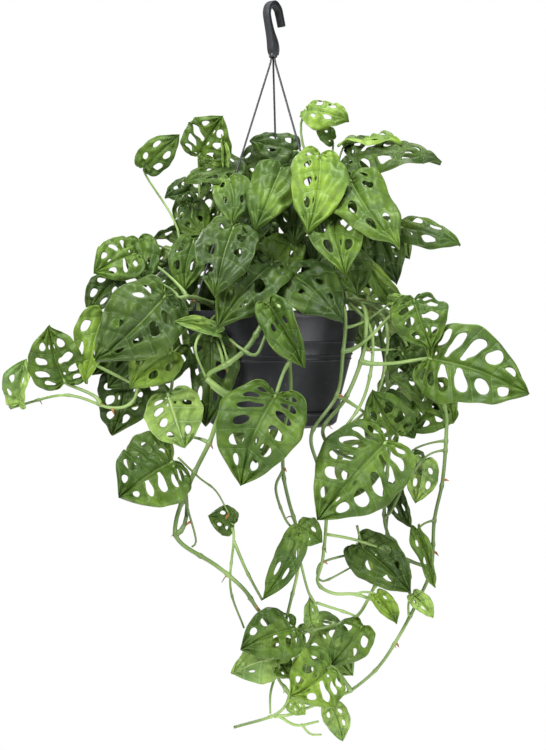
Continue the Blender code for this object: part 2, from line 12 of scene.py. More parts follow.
import bpy
import numpy as np
from bpy.props import FloatProperty, FloatVectorProperty, IntProperty, PointerProperty
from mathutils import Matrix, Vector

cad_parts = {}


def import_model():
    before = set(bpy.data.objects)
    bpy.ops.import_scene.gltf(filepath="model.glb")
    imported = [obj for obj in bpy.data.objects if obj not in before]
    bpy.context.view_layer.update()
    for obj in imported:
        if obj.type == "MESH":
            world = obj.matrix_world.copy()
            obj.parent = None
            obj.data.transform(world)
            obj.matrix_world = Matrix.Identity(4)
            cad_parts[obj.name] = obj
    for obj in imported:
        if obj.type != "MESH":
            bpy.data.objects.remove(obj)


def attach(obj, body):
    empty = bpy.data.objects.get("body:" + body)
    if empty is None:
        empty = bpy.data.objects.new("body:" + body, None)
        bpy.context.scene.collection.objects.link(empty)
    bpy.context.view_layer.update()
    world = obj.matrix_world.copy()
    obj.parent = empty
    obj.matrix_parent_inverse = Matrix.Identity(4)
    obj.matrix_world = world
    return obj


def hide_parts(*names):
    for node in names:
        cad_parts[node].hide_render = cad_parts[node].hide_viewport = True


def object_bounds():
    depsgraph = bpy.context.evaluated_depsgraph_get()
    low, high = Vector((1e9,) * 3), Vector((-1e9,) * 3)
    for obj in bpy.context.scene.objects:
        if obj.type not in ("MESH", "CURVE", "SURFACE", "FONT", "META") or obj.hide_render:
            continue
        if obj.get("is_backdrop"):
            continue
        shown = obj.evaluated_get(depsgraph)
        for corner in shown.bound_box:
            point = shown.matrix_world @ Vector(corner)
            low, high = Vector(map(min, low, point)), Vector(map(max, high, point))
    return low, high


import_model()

bl_info = {
    "name": "Monstera adansonii in a hanging pot",
    "version": (1, 0, 0),
    "blender": (4, 5, 0),
    "location": "View3D > Sidebar > Monstera",
    "description": "Builds the looks of a trailing monstera in its hanging pot",
    "category": "Object",
}

CM = 0.01
VIEW_DISTANCE = 200.0
VIEW_HEIGHT = -44.0
ROOT = "root"

# How finely round shapes are drawn, and how near points are, in metres, to be merged
TUBE_SIDES_STEP = 3
ROUND_STEPS = 96
TUBE_WELD = 1e-6
TURNED_WELD = 1e-5
SCREW_WELD = 1e-4
BLADE_WELD = 5e-5

# Pot and saucer. Lengths are in centimetres, and the smooth angle is in degrees
RIM_TOP = -44.0
RIM_RADIUS = 13.5
RIM_HEIGHT = 1.0
RIM_STEP = 0.55
RIM_LIP = 0.16
RIM_HOLLOW = 0.25
WALL = 0.2
WALL_TOP_RADIUS = 12.95
WALL_FOOT_RADIUS = 9.0
POT_FOOT = -60.3
POT_FLOOR = 0.3
POT_CORNER = 0.05
POT_SMOOTH = 38.0
RIDGES = (-48.3, -50.2, -50.9)
RIDGE_RISE = 0.12
RIDGE_HEIGHT = 0.25
RIDGE_SLANT = 0.06
LUG_SIZE = (0.9, 1.0, 0.9)
LUG_BEVEL = 0.12
GAP = 0.03
SAUCER_TOP = -58.5
SAUCER_FOOT = -60.7
SAUCER_WALL = 0.2
SAUCER_FLARE = 0.1
SAUCER_CHAMFER = (0.2, 0.4)
SAUCER_LIP_RISE = 0.08
SAUCER_LIP_HEIGHT = 0.3
SAUCER_RING = 1.0
SAUCER_HOLLOW = 0.15
SAUCER_SHADE = 1.15
DUST = (0.16, 0.15, 0.13)
# How far a rounded corner reaches along a short side, and how far its middle is cut
CORNER_SHARE = 0.45
CORNER_CUT = 0.29

# Soil and the bits on it. Lengths are in centimetres, and the smooth angle is in degrees
SOIL_TOP = -45.4
SOIL_RINGS = 24
SOIL_EDGE = 0.995
SOIL_HEAP = 0.12
SOIL_SMOOTH = 50.0
SOIL_SEED = 5
SOIL_DARK = (0.012, 0.008, 0.005)
SOIL_LIGHT = (0.065, 0.04, 0.022)
SOIL_CRUMB = (0.1, 0.065, 0.035)
BITS_REACH = 0.96
BITS_RISE = 0.2
BIT_SQUEEZE = ((0.6, 1.2), (0.6, 1.2), (0.3, 0.7))
BIT_DENTS = 0.18
# The bits on the soil: name, two colours, roughness, share of all bits and size
SOIL_KINDS = (
    ("soil_crumb", (0.02, 0.013, 0.008), (0.08, 0.05, 0.028), 0.95, 0.62, 0.3),
    ("bark_chip", (0.1, 0.05, 0.022), (0.26, 0.14, 0.06), 0.85, 0.26, 0.5),
    ("white_grain", (0.55, 0.53, 0.48), (0.75, 0.73, 0.68), 0.9, 0.12, 0.2),
)

# Hanger. Lengths are in centimetres and angles in degrees
ROD_RADIUS = 0.15
ROD_ANGLES = (-65.0, 55.0, 175.0)
ROD_TOP_CIRCLE = 0.3
ROD_FOOT_CIRCLE = 12.4
ROD_STUB = 0.6
ROD_UPRIGHT = 0.6
ROD_BEND = 0.012
ROD_INSIDE = 0.1
ROD_THICK_END = 1.5
COLLAR_RADIUS = 0.62
COLLAR_TOP = -6.7
COLLAR_FOOT = -7.3
COLLAR_NECK = (0.28, 0.34)
COLLAR_NECK_HEIGHT = 0.25
COLLAR_CORNER = 0.07
HOOK_THICKNESS = 1.1
HOOK_TURN = 52.0
HOOK_GROOVE = 0.3
HOOK_LIP = 0.13
HOOK_DRAFT = 0.03
HOOK_BEVEL = 0.04
HOOK_BEVEL_ANGLE = 40.0
HOOK_SMOOTH = 35.0
HOOK_SAMPLES = 5
# Centre line of the hook in its own plane: across, up, half of its depth there
HOOK_LINE = (
    (0.15, -7.0, 0.5),
    (0.1, -6.2, 0.78),
    (-0.1, -5.2, 0.72),
    (-0.6, -3.9, 0.45),
    (-1.1, -2.5, 0.32),
    (-1.42, -1.1, 0.3),
    (-1.02, -0.07, 0.34),
    (0.0, 0.42, 0.42),
    (1.05, -0.1, 0.36),
    (1.5, -1.0, 0.32),
    (2.05, -2.6, 0.3),
)

# Stems, roots and bracts. STEM_FOOT and SOIL_COVER are in centimetres, other lengths in metres
STEM_FOOT = 0.9
SOIL_COVER = 0.4
STEM_SAMPLES = 8
STEM_STEP = 0.005
FEWEST_STEM_STEPS = 6
STEM_TAPER = (1.12, 0.3)
FIRST_NODE = 0.01
NODE_EDGE = 0.002
NODE_LENGTH = 0.003
ROOTS_FROM = 0.09
ROOTLESS_SHARE = 0.45
ROOT_WAY = ((-1, 1), (-1, 1), (-0.8, 0.3))
ROOT_BEND = 0.3
ROOT_RADII = (0.0011, 0.0008, 0.0004)
ROOT_DARK = (0.06, 0.032, 0.012)
ROOT_LIGHT = (0.24, 0.13, 0.045)
BRACT_SHARE = 0.8
BRACT_BEND = 0.0012
BRACT_RADII = (0.0014, 0.0018, 0.0004)
BRACT_DARK = (0.12, 0.045, 0.015)
BRACT_LIGHT = (0.4, 0.17, 0.05)

# Leaf stalks. STALK_SPREAD and STALK_END_BEND are shares of the stalk's reach, STALK_UNDER and
# STALK_IN_BLADE are in centimetres, and STALK_LIMITS and STALK_TIP are shares of its radius
STALK_SAMPLES = 10
STALK_SPREAD = 0.3
STALK_END_BEND = (0.2, 0.25)
STALK_UNDER = 0.08
STALK_IN_BLADE = 0.5
STALK_LIMITS = (0.7, 1.15)
STALK_TIP = 0.5
# Where a stalk is thicker: how far along it, over which width, and how much
STALK_SWELLS = (
    (0.0, 0.16, 0.75),
    (0.93, 0.05, 0.25),
)
STALK_LIGHT = (0.42, 0.55, 0.2)
STALK_SPECK = (0.3, 0.42, 0.16)
STALK_SCAR = (0.13, 0.085, 0.03)

# Blades. Widths are in centimetres
LEAF_MAP = "LeafMap"
USUAL_WIDTH = 8
BROAD_LEAF = 6.5
STRIPS = (5, 9)
CELLS_IN_STRIP = 4
BROAD_ROWS = 9
NARROW_ROWS = 7
# Half of the outline of a blade of length 1 and half width 1, from the notch to the tip:
# along and across at the edge, and where on the midrib the side vein to that place starts
BLADE_EDGE = (
    (0.0, 0.03, 0.0),
    (-0.09, 0.36, 0.004),
    (-0.04, 0.72, 0.012),
    (0.12, 0.95, 0.04),
    (0.3, 1.02, 0.14),
    (0.5, 0.94, 0.32),
    (0.69, 0.73, 0.56),
    (0.86, 0.37, 0.8),
    (1.0, 0.0, 1.0),
)
EDGE_SAMPLES = 8
EDGE_RIPPLES = ((0.03, 17), (0.015, 41))
# How the blade is bent: its twist about the midrib, its sweep to a side and the droop of its edges
TWIST = 0.5
TWIST_MIDDLE = 0.35
SWEEP = 0.07
DROOP = (0.08, 0.34)
# Its relief: the groove over the midrib, puckers, and waves along the edge
LARGEST_RELIEF = 1.2
GROOVE_DEPTH = 0.8
GROOVE_WIDTH = 0.06
PUCKER_SHARE = 0.5
PUCKER_START = 0.25
WAVE_TURNS = (1.3, 2.4)
# Its holes. Each pair is for a leaf with holes at 0, and what is added for holes at 1
HOLE_REACH = (0.1, 0.19)
HOLE_MIDDLE = (0.36, 0.16)
HOLE_STRIP = (0.22, 0.12)
HOLE_CORE = 0.3
END_HOLE = 0.75
SURE_HOLES = 0.25
SLOT_CHANCE = 0.035
INNER_CHANCE = 0.5
# A slot that is open at the edge, and a small hole at the midrib: middle, half reach, half strip
OPEN_SLOT = (0.72, 0.42, 0.26)
INNER_HOLE = (0.13, 0.05, 0.2)
# Its veins, the painted shade in the crease beside each side vein, and its pale edge: where on the
# chart each fades out, and where it is full
SIDE_VEIN = (0.055, 0.012)
VEIN_CREASE_SHADE = (0.3, 0.05)
MIDRIB = (0.042, 0.015)
PALE_EDGE = (0.965, 1.0)
# The colours of the veins above and underneath
VEIN = (0.3, 0.42, 0.12)
UNDER_VEIN = (0.5, 0.6, 0.28)

# Stage. Lengths are in metres, apart from the camera's
CAMERA_TILT = 2.71
CAMERA_LENS = 65.45
CAMERA_SENSOR = 36.0
WHITE = (1, 1, 1, 1)
FLOOR_COLOUR = (0.93, 0.93, 0.93)
FLOOR_GLOW = 0.3
FLOOR_RADIUS = 1.0
# Each light's name, the setting that holds its power, its place, its size and what it shines at
LIGHTS = (
    ("key_light", "key_power", (-1.3, -1.9, 0.7), 1.1, (0, 0, -0.5)),
    ("fill_light", "fill_power", (1.5, -1.7, -0.6), 1.4, (0, 0, -0.75)),
    ("top_light", "top_power", (0.2, -0.3, 1.5), 1.3, (0, 0, -0.5)),
    ("back_light", "fill_power", (-0.8, 1.9, 0.5), 1.3, (0, 0, -0.5)),
)

GREEN = "leaf_green"
DARK_GREEN = "leaf_dark"
LIME = "leaf_lime"
PALE = "leaf_pale"

# foot is across and near where the stem leaves the soil, and the points are what it passes through
Stem = namedtuple("Stem", "name radius foot points")
STEMS = (
    Stem("stem_up_left", 0.26, (-4.5, 0.0),
         ((-5.5, -42, 0.5), (-8.5, -38.5, 1), (-11.5, -36, 1.5), (-13.9, -34.6, 2))),
    Stem("stem_up_centre", 0.28, (0.5, -2.0),
         ((0.9, -42, -1.5), (0.9, -38.5, -1), (0.4, -34, -1), (-1.5, -29.5, -2))),
    Stem("stem_up_right", 0.3, (5.0, -2.0),
         ((5.5, -41, -1.5), (7, -36, -1), (8.5, -31, -1), (9.3, -27, -1.5))),
    Stem("stem_left", 0.28, (-7.0, 3.0),
         ((-8.8, -43, 6.5), (-12.6, -42, 9.5), (-15, -43.5, 9.5), (-15.3, -48, 9), (-14.8, -54, 9),
          (-15.2, -56.5, 8.5))),
    Stem("stem_far_left", 0.24, (-8.0, -1.0),
         ((-9.8, -43, 1.5), (-14.6, -42.2, 4), (-18, -47, 6), (-19.6, -53, 7), (-20.5, -57.2, 7.5),
          (-23.8, -58.3, 7.5), (-30.5, -56.4, 6.5), (-38.6, -58.3, 4))),
    Stem("stem_front_left", 0.34, (-1.2, 8.3),
         ((-0.9, -42.8, 11.5), (-0.8, -44.2, 14.8), (-3.4, -49, 15), (-6.5, -51.7, 14.2),
          (-9.5, -53.5, 12.8), (-8.3, -55.6, 12.8), (-6.9, -57, 12.8), (-8.3, -60.4, 12),
          (-9.4, -63.5, 11.5), (-12.1, -69, 11), (-14.3, -75, 10.5), (-13.7, -78.2, 10.5),
          (-8.5, -81.6, 10.5), (-4.5, -85, 10), (-2.4, -88, 10), (-0.5, -90.5, 9.5))),
    Stem("stem_centre", 0.26, (1.2, 8.5),
         ((1.0, -42.8, 11.8), (0.9, -44.4, 14.8), (2.2, -50, 14), (2.6, -56, 12.6), (1.6, -62, 12.2),
          (1.5, -67.7, 12), (2.3, -72, 12), (3.6, -76.8, 12), (3.7, -82, 11.5), (2.6, -87, 10.5),
          (1.8, -90.3, 10))),
    Stem("stem_right_front", 0.26, (7.0, 6.0),
         ((8.2, -42.6, 9), (10.3, -43.6, 12), (10.6, -46.5, 12), (10.3, -50, 11.6),
          (9.4, -56.4, 11.5), (5.7, -62, 12), (6.5, -66.5, 12), (7.8, -70, 12), (7.8, -76, 11.5),
          (7.3, -81, 11), (6.6, -84.2, 11), (8.9, -85.8, 10.5), (12.5, -86, 9.5), (17, -87.8, 9))),
    Stem("stem_right", 0.3, (8.5, 1.5),
         ((10, -42.7, 4), (13.2, -43.4, 7.6), (13.6, -47, 9), (12.9, -51.5, 9.6), (10.6, -57, 10),
          (7.3, -61.6, 9.6), (9.7, -65, 8.8), (14.5, -66.5, 7.5))),
    Stem("stem_far_right", 0.27, (9.0, -3.0),
         ((10.8, -42.6, -2.5), (15.5, -43.4, -0.5), (19.5, -47.5, 2), (23, -53.5, 4), (25.3, -58.5, 5),
          (25.5, -62, 5), (25, -69, 5), (23.8, -75, 5), (23.4, -82, 5.5), (21.4, -87, 6),
          (18.5, -92.5, 6.5), (15.5, -97, 7), (11.5, -100.4, 7.5), (9, -101.3, 8))),
    Stem("stem_centre_right", 0.26, (7.0, -6.0),
         ((9.8, -42.5, -7), (14.3, -43.5, -6.5), (16.5, -52, -2), (17.2, -62, 2), (16.4, -74, 4),
          (17.4, -79.5, 3.3), (14.6, -85.6, 5), (12.2, -89.4, 7), (8, -90.8, 8), (4, -91.9, 8.5),
          (1, -94.5, 9), (0.8, -98.5, 9), (2.4, -101, 9), (0.5, -103.9, 9), (-5.8, -105.9, 8))),
    Stem("stem_back", 0.28, (-2.0, -7.0),
         ((-3, -42.8, -11), (-4.5, -43.5, -15.5), (-4, -50, -16), (-1.5, -56, -15), (0, -59.5, -14))),
)

THIN_STEMS = (
    Stem("side_stem_1", 0.17, None,
         ((-14.7, -66.7, 11), (-13, -72, 10.5), (-11.4, -77.7, 10), (-12, -78.9, 10))),
    Stem("side_stem_2", 0.14, None,
         ((-14, -65.6, 11), (-10.9, -68.6, 11), (-8.4, -70.6, 11), (-6.5, -74, 11))),
    Stem("side_stem_3", 0.19, None,
         ((1.4, -67.6, 12), (0.4, -70.3, 12.6), (1.8, -74.7, 12.6), (3.5, -76.7, 12))),
    Stem("side_stem_4", 0.17, None,
         ((-6, -76, 10.5), (-5.8, -78, 10.5), (-6.3, -85, 10), (-4.3, -91, 10))),
    Stem("side_stem_5", 0.22, None,
         ((-5.8, -78, 10.5), (-3.9, -82.5, 10.5), (-1.6, -86.8, 10))),
    Stem("side_stem_6", 0.17, None,
         ((4.1, -81.3, 11.5), (5.2, -85.5, 11), (6.3, -87.5, 10), (6.4, -89.7, 9))),
    Stem("side_stem_7", 0.17, None,
         ((0.2, -98.5, 9), (-0.4, -101, 9.5), (-0.4, -103.8, 9))),
    Stem("side_stem_8", 0.22, None,
         ((0.2, -104.3, 9), (2.5, -104, 9.3), (4.5, -103.2, 9), (7.5, -102.2, 8))),
    Stem("side_stem_9", 0.2, None,
         ((1, -104.3, 9), (3.5, -105.6, 9.2), (6.8, -105, 9))),
    Stem("side_stem_10", 0.17, None,
         ((4.2, -105.4, 9.2), (5.5, -106.9, 9.2), (7.2, -107, 9))),
    Stem("side_stem_11", 0.19, None,
         ((3.3, -91.3, 9), (4.6, -93.8, 9.5), (6, -96, 9.5))),
    Stem("side_stem_12", 0.19, None,
         ((6.4, -87.2, 10), (11.5, -88.9, 9), (12.2, -89.4, 7.5))),
    Stem("side_stem_13", 0.17, None,
         ((12, -79.8, 6), (7, -81.4, 8), (7.3, -84, 8.4), (12, -81.7, 6.5))),
    Stem("side_stem_14", 0.2, None,
         ((7.8, -77, 11.4), (12, -77.8, 9.5), (17, -79.5, 7.5), (23.4, -82.2, 5.5))),
    Stem("side_stem_15", 0.17, None,
         ((12.4, -75.7, 8), (12.8, -77.4, 7.8), (13.3, -79, 7.5))),
    Stem("side_stem_16", 0.4, None,
         ((-9.8, -54, 13), (-7, -56, 13.2), (-4.3, -56.8, 13.4))),
    Stem("side_stem_17", 0.23, None,
         ((-1, -47.5, 15), (-2.5, -50.5, 15.4), (-4.8, -49.5, 15.2), (-6.3, -48.2, 14.2))),
    Stem("side_stem_18", 0.23, None,
         ((22, -66, 5), (19.4, -69.6, 5.5), (17.5, -73.5, 5), (16.4, -74.5, 4))),
    Stem("side_stem_20", 0.23, None,
         ((11, -42.8, 7), (14, -46, 8.5), (14.6, -51, 9), (13, -57.6, 9), (8.8, -63.4, 9.4))),
    Stem("side_stem_21", 0.23, None,
         ((12.6, -42.6, 3), (16.4, -45.4, 5), (16.6, -51, 6), (14.8, -57.4, 7), (10.6, -61.4, 8))),
    Stem("side_stem_22", 0.21, None,
         ((13.4, -43, 1), (18, -46.4, 3), (20.4, -51, 4), (22.4, -57.2, 4.6))),
    Stem("side_stem_23", 0.2, None,
         ((-6.5, -43, 8), (-9.6, -46, 12), (-11.4, -49.4, 12.6), (-9.9, -53.8, 13))),
    Stem("side_stem_19", 0.21, None,
         ((-26, -52, 9), (-22.5, -53.8, 9), (-20.1, -55, 7.5))),
)
STEM_OF = {stem.name: stem for stem in (*STEMS, *THIN_STEMS)}

# face is the way the upper side looks: right, near, up. node is where the stalk leaves its stem,
# counted along the stem's points from 1. arch and fold are in degrees: how far the blade droops
# along its length, and how far it is folded along its midrib. holes, from 0 to 1, is how many of the
# strips between its side veins have a hole, and how large the holes are.
Leaf = namedtuple("Leaf", "name base tip width face stem node arch fold colour holes")
LEAVES = (
    Leaf("leaf_top_left_1", (-18.7, -23.1, 2), (-13.6, -18.4, 4), 4.8, (0.5, 1, 0.1),
         "stem_up_left", 4, 30, 10, GREEN, 1),
    Leaf("leaf_top_left_2", (-10.8, -21.5, 0), (-7.3, -15.7, 3), 8.0, (0, 1, 0.2),
         "stem_up_left", 3.3, 20, 10, GREEN, 1),
    Leaf("leaf_top_left_3", (-6.4, -24.8, 4), (-6, -31.6, 8), 5.8, (0, 1, 0.3),
         "stem_up_left", 2.6, 40, 8, GREEN, 0.5),
    Leaf("leaf_top_left_4", (-5.8, -31.9, 9), (-8.5, -42.1, 17), 8.3, (0, 1, 0.5),
         "stem_up_left", 2, 30, 8, DARK_GREEN, 0.45),
    Leaf("leaf_top_1", (1.2, -23.2, 3), (-2.7, -32.4, 9), 7.2, (0, 1, 0.5),
         "stem_up_centre", 4, 40, 8, GREEN, 0.4),
    Leaf("leaf_top_2", (-4.8, -23.5, -4), (2.8, -21.6, -3), 6, (0, 1, 0.5),
         "stem_up_centre", 3.7, 30, 5, DARK_GREEN, 0.6),
    Leaf("leaf_top_3", (-0.1, -37.2, 7), (-8.2, -46.6, 17), 8.5, (0, 1, 0.6),
         "stem_up_centre", 1.6, 35, 8, DARK_GREEN, 0.5),
    Leaf("leaf_top_right_1", (5, -15, -1), (11, -16.6, 0), 6.5, (-0.1, 0.8, 0.8),
         "stem_up_right", 4, 60, 10, LIME, 0.7),
    Leaf("leaf_top_right_2", (11.2, -21.6, 0), (24.5, -22.6, 4), 9, (0, 0.7, 0.8),
         "stem_up_right", 3.8, 45, 10, DARK_GREEN, 0.9),
    Leaf("leaf_top_right_3", (6.9, -21.4, 5), (5.1, -32.7, 12), 8.2, (0, 1, 0.4),
         "stem_up_right", 3.4, 30, 10, LIME, 0.45),
    Leaf("leaf_top_right_4", (11.3, -25, 5), (18.5, -35, 14), 9, (0.1, 1, 0.4),
         "stem_up_right", 3, 35, 10, GREEN, 0.6),
    Leaf("leaf_top_right_5", (9.2, -28.2, 5.5), (10.6, -38.9, 14.5), 8.7, (0, 1, 0.4),
         "stem_up_right", 2.5, 35, 10, GREEN, 0.9),
    Leaf("leaf_top_right_6", (18.6, -31.8, -2), (27.4, -34.5, 2), 6.5, (0, 0.7, 0.7),
         "stem_up_right", 2.2, 30, 10, GREEN, 0.8),
    Leaf("leaf_top_right_7", (2.2, -38.3, 7.5), (10.2, -45.7, 16), 8.4, (0, 1, 0.5),
         "stem_up_right", 1.3, 30, 8, DARK_GREEN, 0.3),
    Leaf("leaf_top_right_8", (9.8, -35.9, 7.5), (12.3, -41.9, 9.5), 7.5, (0.1, 1, 0.4),
         "stem_right", 1.3, 30, 8, DARK_GREEN, 0.4),
    Leaf("leaf_right_1", (20.6, -42.4, 8), (23.2, -49.7, 10), 8.2, (0.1, 1, 0.2),
         "stem_right_front", 4, 35, 8, GREEN, 0.8),
    Leaf("leaf_right_2", (22.9, -51, 8), (37.6, -56.3, 12), 11.8, (0, 1, 0.3),
         "stem_right", 4, 30, 8, GREEN, 1),
    Leaf("leaf_right_3", (25.3, -57.8, 1.8), (19.9, -62, 3), 7, (0, 1, 0.6),
         "stem_far_right", 3.5, 40, 15, GREEN, 0.7),
    Leaf("leaf_right_4", (18.4, -62.3, 5.5), (14.6, -55.6, 9.5), 7.5, (0, 1, 0.1),
         "stem_right_front", 5, 30, 10, GREEN, 0.9),
    Leaf("leaf_right_5", (16.6, -63.4, 10.5), (6.5, -74.9, 15), 12.4, (0, 1, 0.3),
         "stem_right", 8, 30, 8, GREEN, 1),
    Leaf("leaf_right_6", (19, -50.2, 5), (21.8, -57.3, 7), 6.8, (0.2, 1, 0.3),
         "stem_right", 3.6, 30, 10, DARK_GREEN, 0.7),
    Leaf("leaf_front_1", (0.4, -56.4, 16), (-4.8, -69.8, 18), 11.6, (0, 1, 0.1),
         "stem_centre", 3.3, 25, 8, GREEN, 0.7),
    Leaf("leaf_front_2", (-0.5, -43.3, 15.5), (4.7, -52.4, 17.5), 7, (-0.2, 1, 0),
         "stem_centre", 1.5, 20, 45, GREEN, 0.3),
    Leaf("leaf_front_3", (-9, -48.2, 10.3), (-9.8, -61, 9.6), 7.5, (-0.4, 1, 0),
         "stem_front_left", 4.2, 25, 10, DARK_GREEN, 0.8),
    Leaf("leaf_left_1", (-30.6, -54.5, 7), (-32.8, -46.1, 9), 8.4, (0, 1, 0),
         "stem_far_left", 6.3, 15, 12, GREEN, 0.9),
    Leaf("leaf_left_2", (-20.4, -35.8, 5), (-26.2, -38.6, 7), 7, (0, 1, 0.3),
         "stem_left", 2, 40, 10, GREEN, 0.8),
    Leaf("leaf_left_3", (-15.8, -41.9, 11), (-26, -51.5, 15), 11.5, (-0.1, 1, 0.4),
         "stem_left", 2.6, 35, 8, DARK_GREEN, 0.5),
    Leaf("leaf_left_4", (-15, -50.2, 11), (-21, -55.4, 13), 6.5, (0, 1, 0.3),
         "stem_left", 4, 30, 8, LIME, 0.8),
    Leaf("leaf_left_5", (-21.5, -53.6, 4.5), (-23.6, -62.4, 5.5), 8, (-0.1, 1, 0.2),
         "stem_far_left", 4, 30, 8, DARK_GREEN, 0.9),
    Leaf("leaf_left_6", (-15.4, -56.4, 11), (-13, -64.2, 13), 8.3, (0, -1, 0.2),
         "stem_left", 6, 20, 8, PALE, 0.7),
    Leaf("leaf_left_7", (-14.8, -66.2, 10), (-22.7, -71.6, 13), 11.5, (0, 1, 0.4),
         "stem_front_left", 11.6, 40, 12, GREEN, 0.8),
    Leaf("leaf_low_1", (3.8, -76.9, 13), (-1.5, -86.8, 13), 4.2, (-0.4, 1, 0),
         "stem_centre", 8, 25, 15, GREEN, 0.6),
    Leaf("leaf_low_2", (12.6, -78.6, 7), (20.4, -85.7, 10), 7.2, (0, 1, 0.3),
         "stem_far_right", 9, 25, 15, DARK_GREEN, 0.7),
    Leaf("leaf_low_3", (3.2, -91.1, 12), (-4.8, -94.3, 14), 8, (0, 1, 0.7),
         "stem_front_left", 16, 30, 10, GREEN, 0.7),
    Leaf("leaf_low_4", (0.1, -95.4, 11), (-6.2, -97.8, 12.5), 6.4, (0, -1, 0.2),
         "stem_centre_right", 11.3, 20, 6, PALE, 0.3),
    Leaf("leaf_low_5", (5.8, -90.3, 6), (11.9, -98.1, 8), 7.5, (0, 1, 0.2),
         "stem_centre_right", 8.7, 25, 8, PALE, 0.8),
    Leaf("leaf_low_6", (8.3, -96.8, 12), (2.6, -101.3, 15), 9, (0, 1, 0.2),
         "stem_far_right", 13, 35, 10, LIME, 0.9),
    Leaf("leaf_low_7", (8.6, -102.6, 9), (10.4, -108, 10), 3.8, (0, 1, 0),
         "stem_far_right", 14, 15, 8, PALE, 0.7),
    Leaf("leaf_back_1", (-7, -37, -10), (-10, -46, -20), 9.5, (0, -0.7, 0.7),
         "stem_up_left", 1.2, 35, 10, GREEN, 0.8),
    Leaf("leaf_back_2", (6, -35, -9), (9.5, -46, -20), 10, (0, -0.7, 0.7),
         "stem_up_right", 1, 35, 10, GREEN, 0.8),
    Leaf("leaf_back_3", (-3.2, -49, -18), (1, -60, -21), 9.5, (0, -1, 0.4),
         "stem_back", 3, 30, 10, DARK_GREEN, 0.8),
)

# Dry bracts: where they start and where they end
DRY_BITS = (
    ((-9.3, -63.9, 12.2), (-8.6, -65, 12.8)),
    ((-4.8, -74.4, 10.8), (-5.4, -75.4, 11)),
    ((6.4, -69.3, 12.4), (5.4, -70, 12.9)),
    ((7.5, -69.6, 12.4), (6.6, -70.6, 13)),
    ((8.4, -55.9, 12), (9.8, -56.4, 12.6)),
    ((-23.9, -58.3, 7.8), (-23.3, -59.6, 8.4)),
    ((1.7, -67.2, 12.4), (2.4, -68.1, 12.9)),
    ((-3.1, -87.8, 10.4), (-2.6, -88.8, 10.8)),
    ((25.2, -68.8, 5.4), (26.4, -68.9, 5.8)),
    ((18.2, -93.4, 6.8), (18.9, -94.4, 7)),
    ((-4.9, -46.6, 15.2), (-4.6, -47.8, 15.5)),
    ((10.8, -42.6, 10), (11.8, -43.6, 12)),
    ((12, -41.6, 5), (13.4, -43, 7)),
    ((12.3, -40.8, 4), (14, -41.2, 6)),
    ((-12.4, -42.6, 2), (-11.2, -43.7, 3.4)),
    ((3.6, -43.3, 10.5), (5.6, -43.9, 13)),
    ((16.4, -37.1, 5), (17, -38.1, 5.4)),
    ((-12.6, -75.2, 10.8), (-13.6, -76, 11.4)),
    ((23.5, -79.6, 5.8), (24.6, -80.6, 6.2)),
    ((8.2, -81.4, 11.2), (9.2, -82, 11.6)),
)

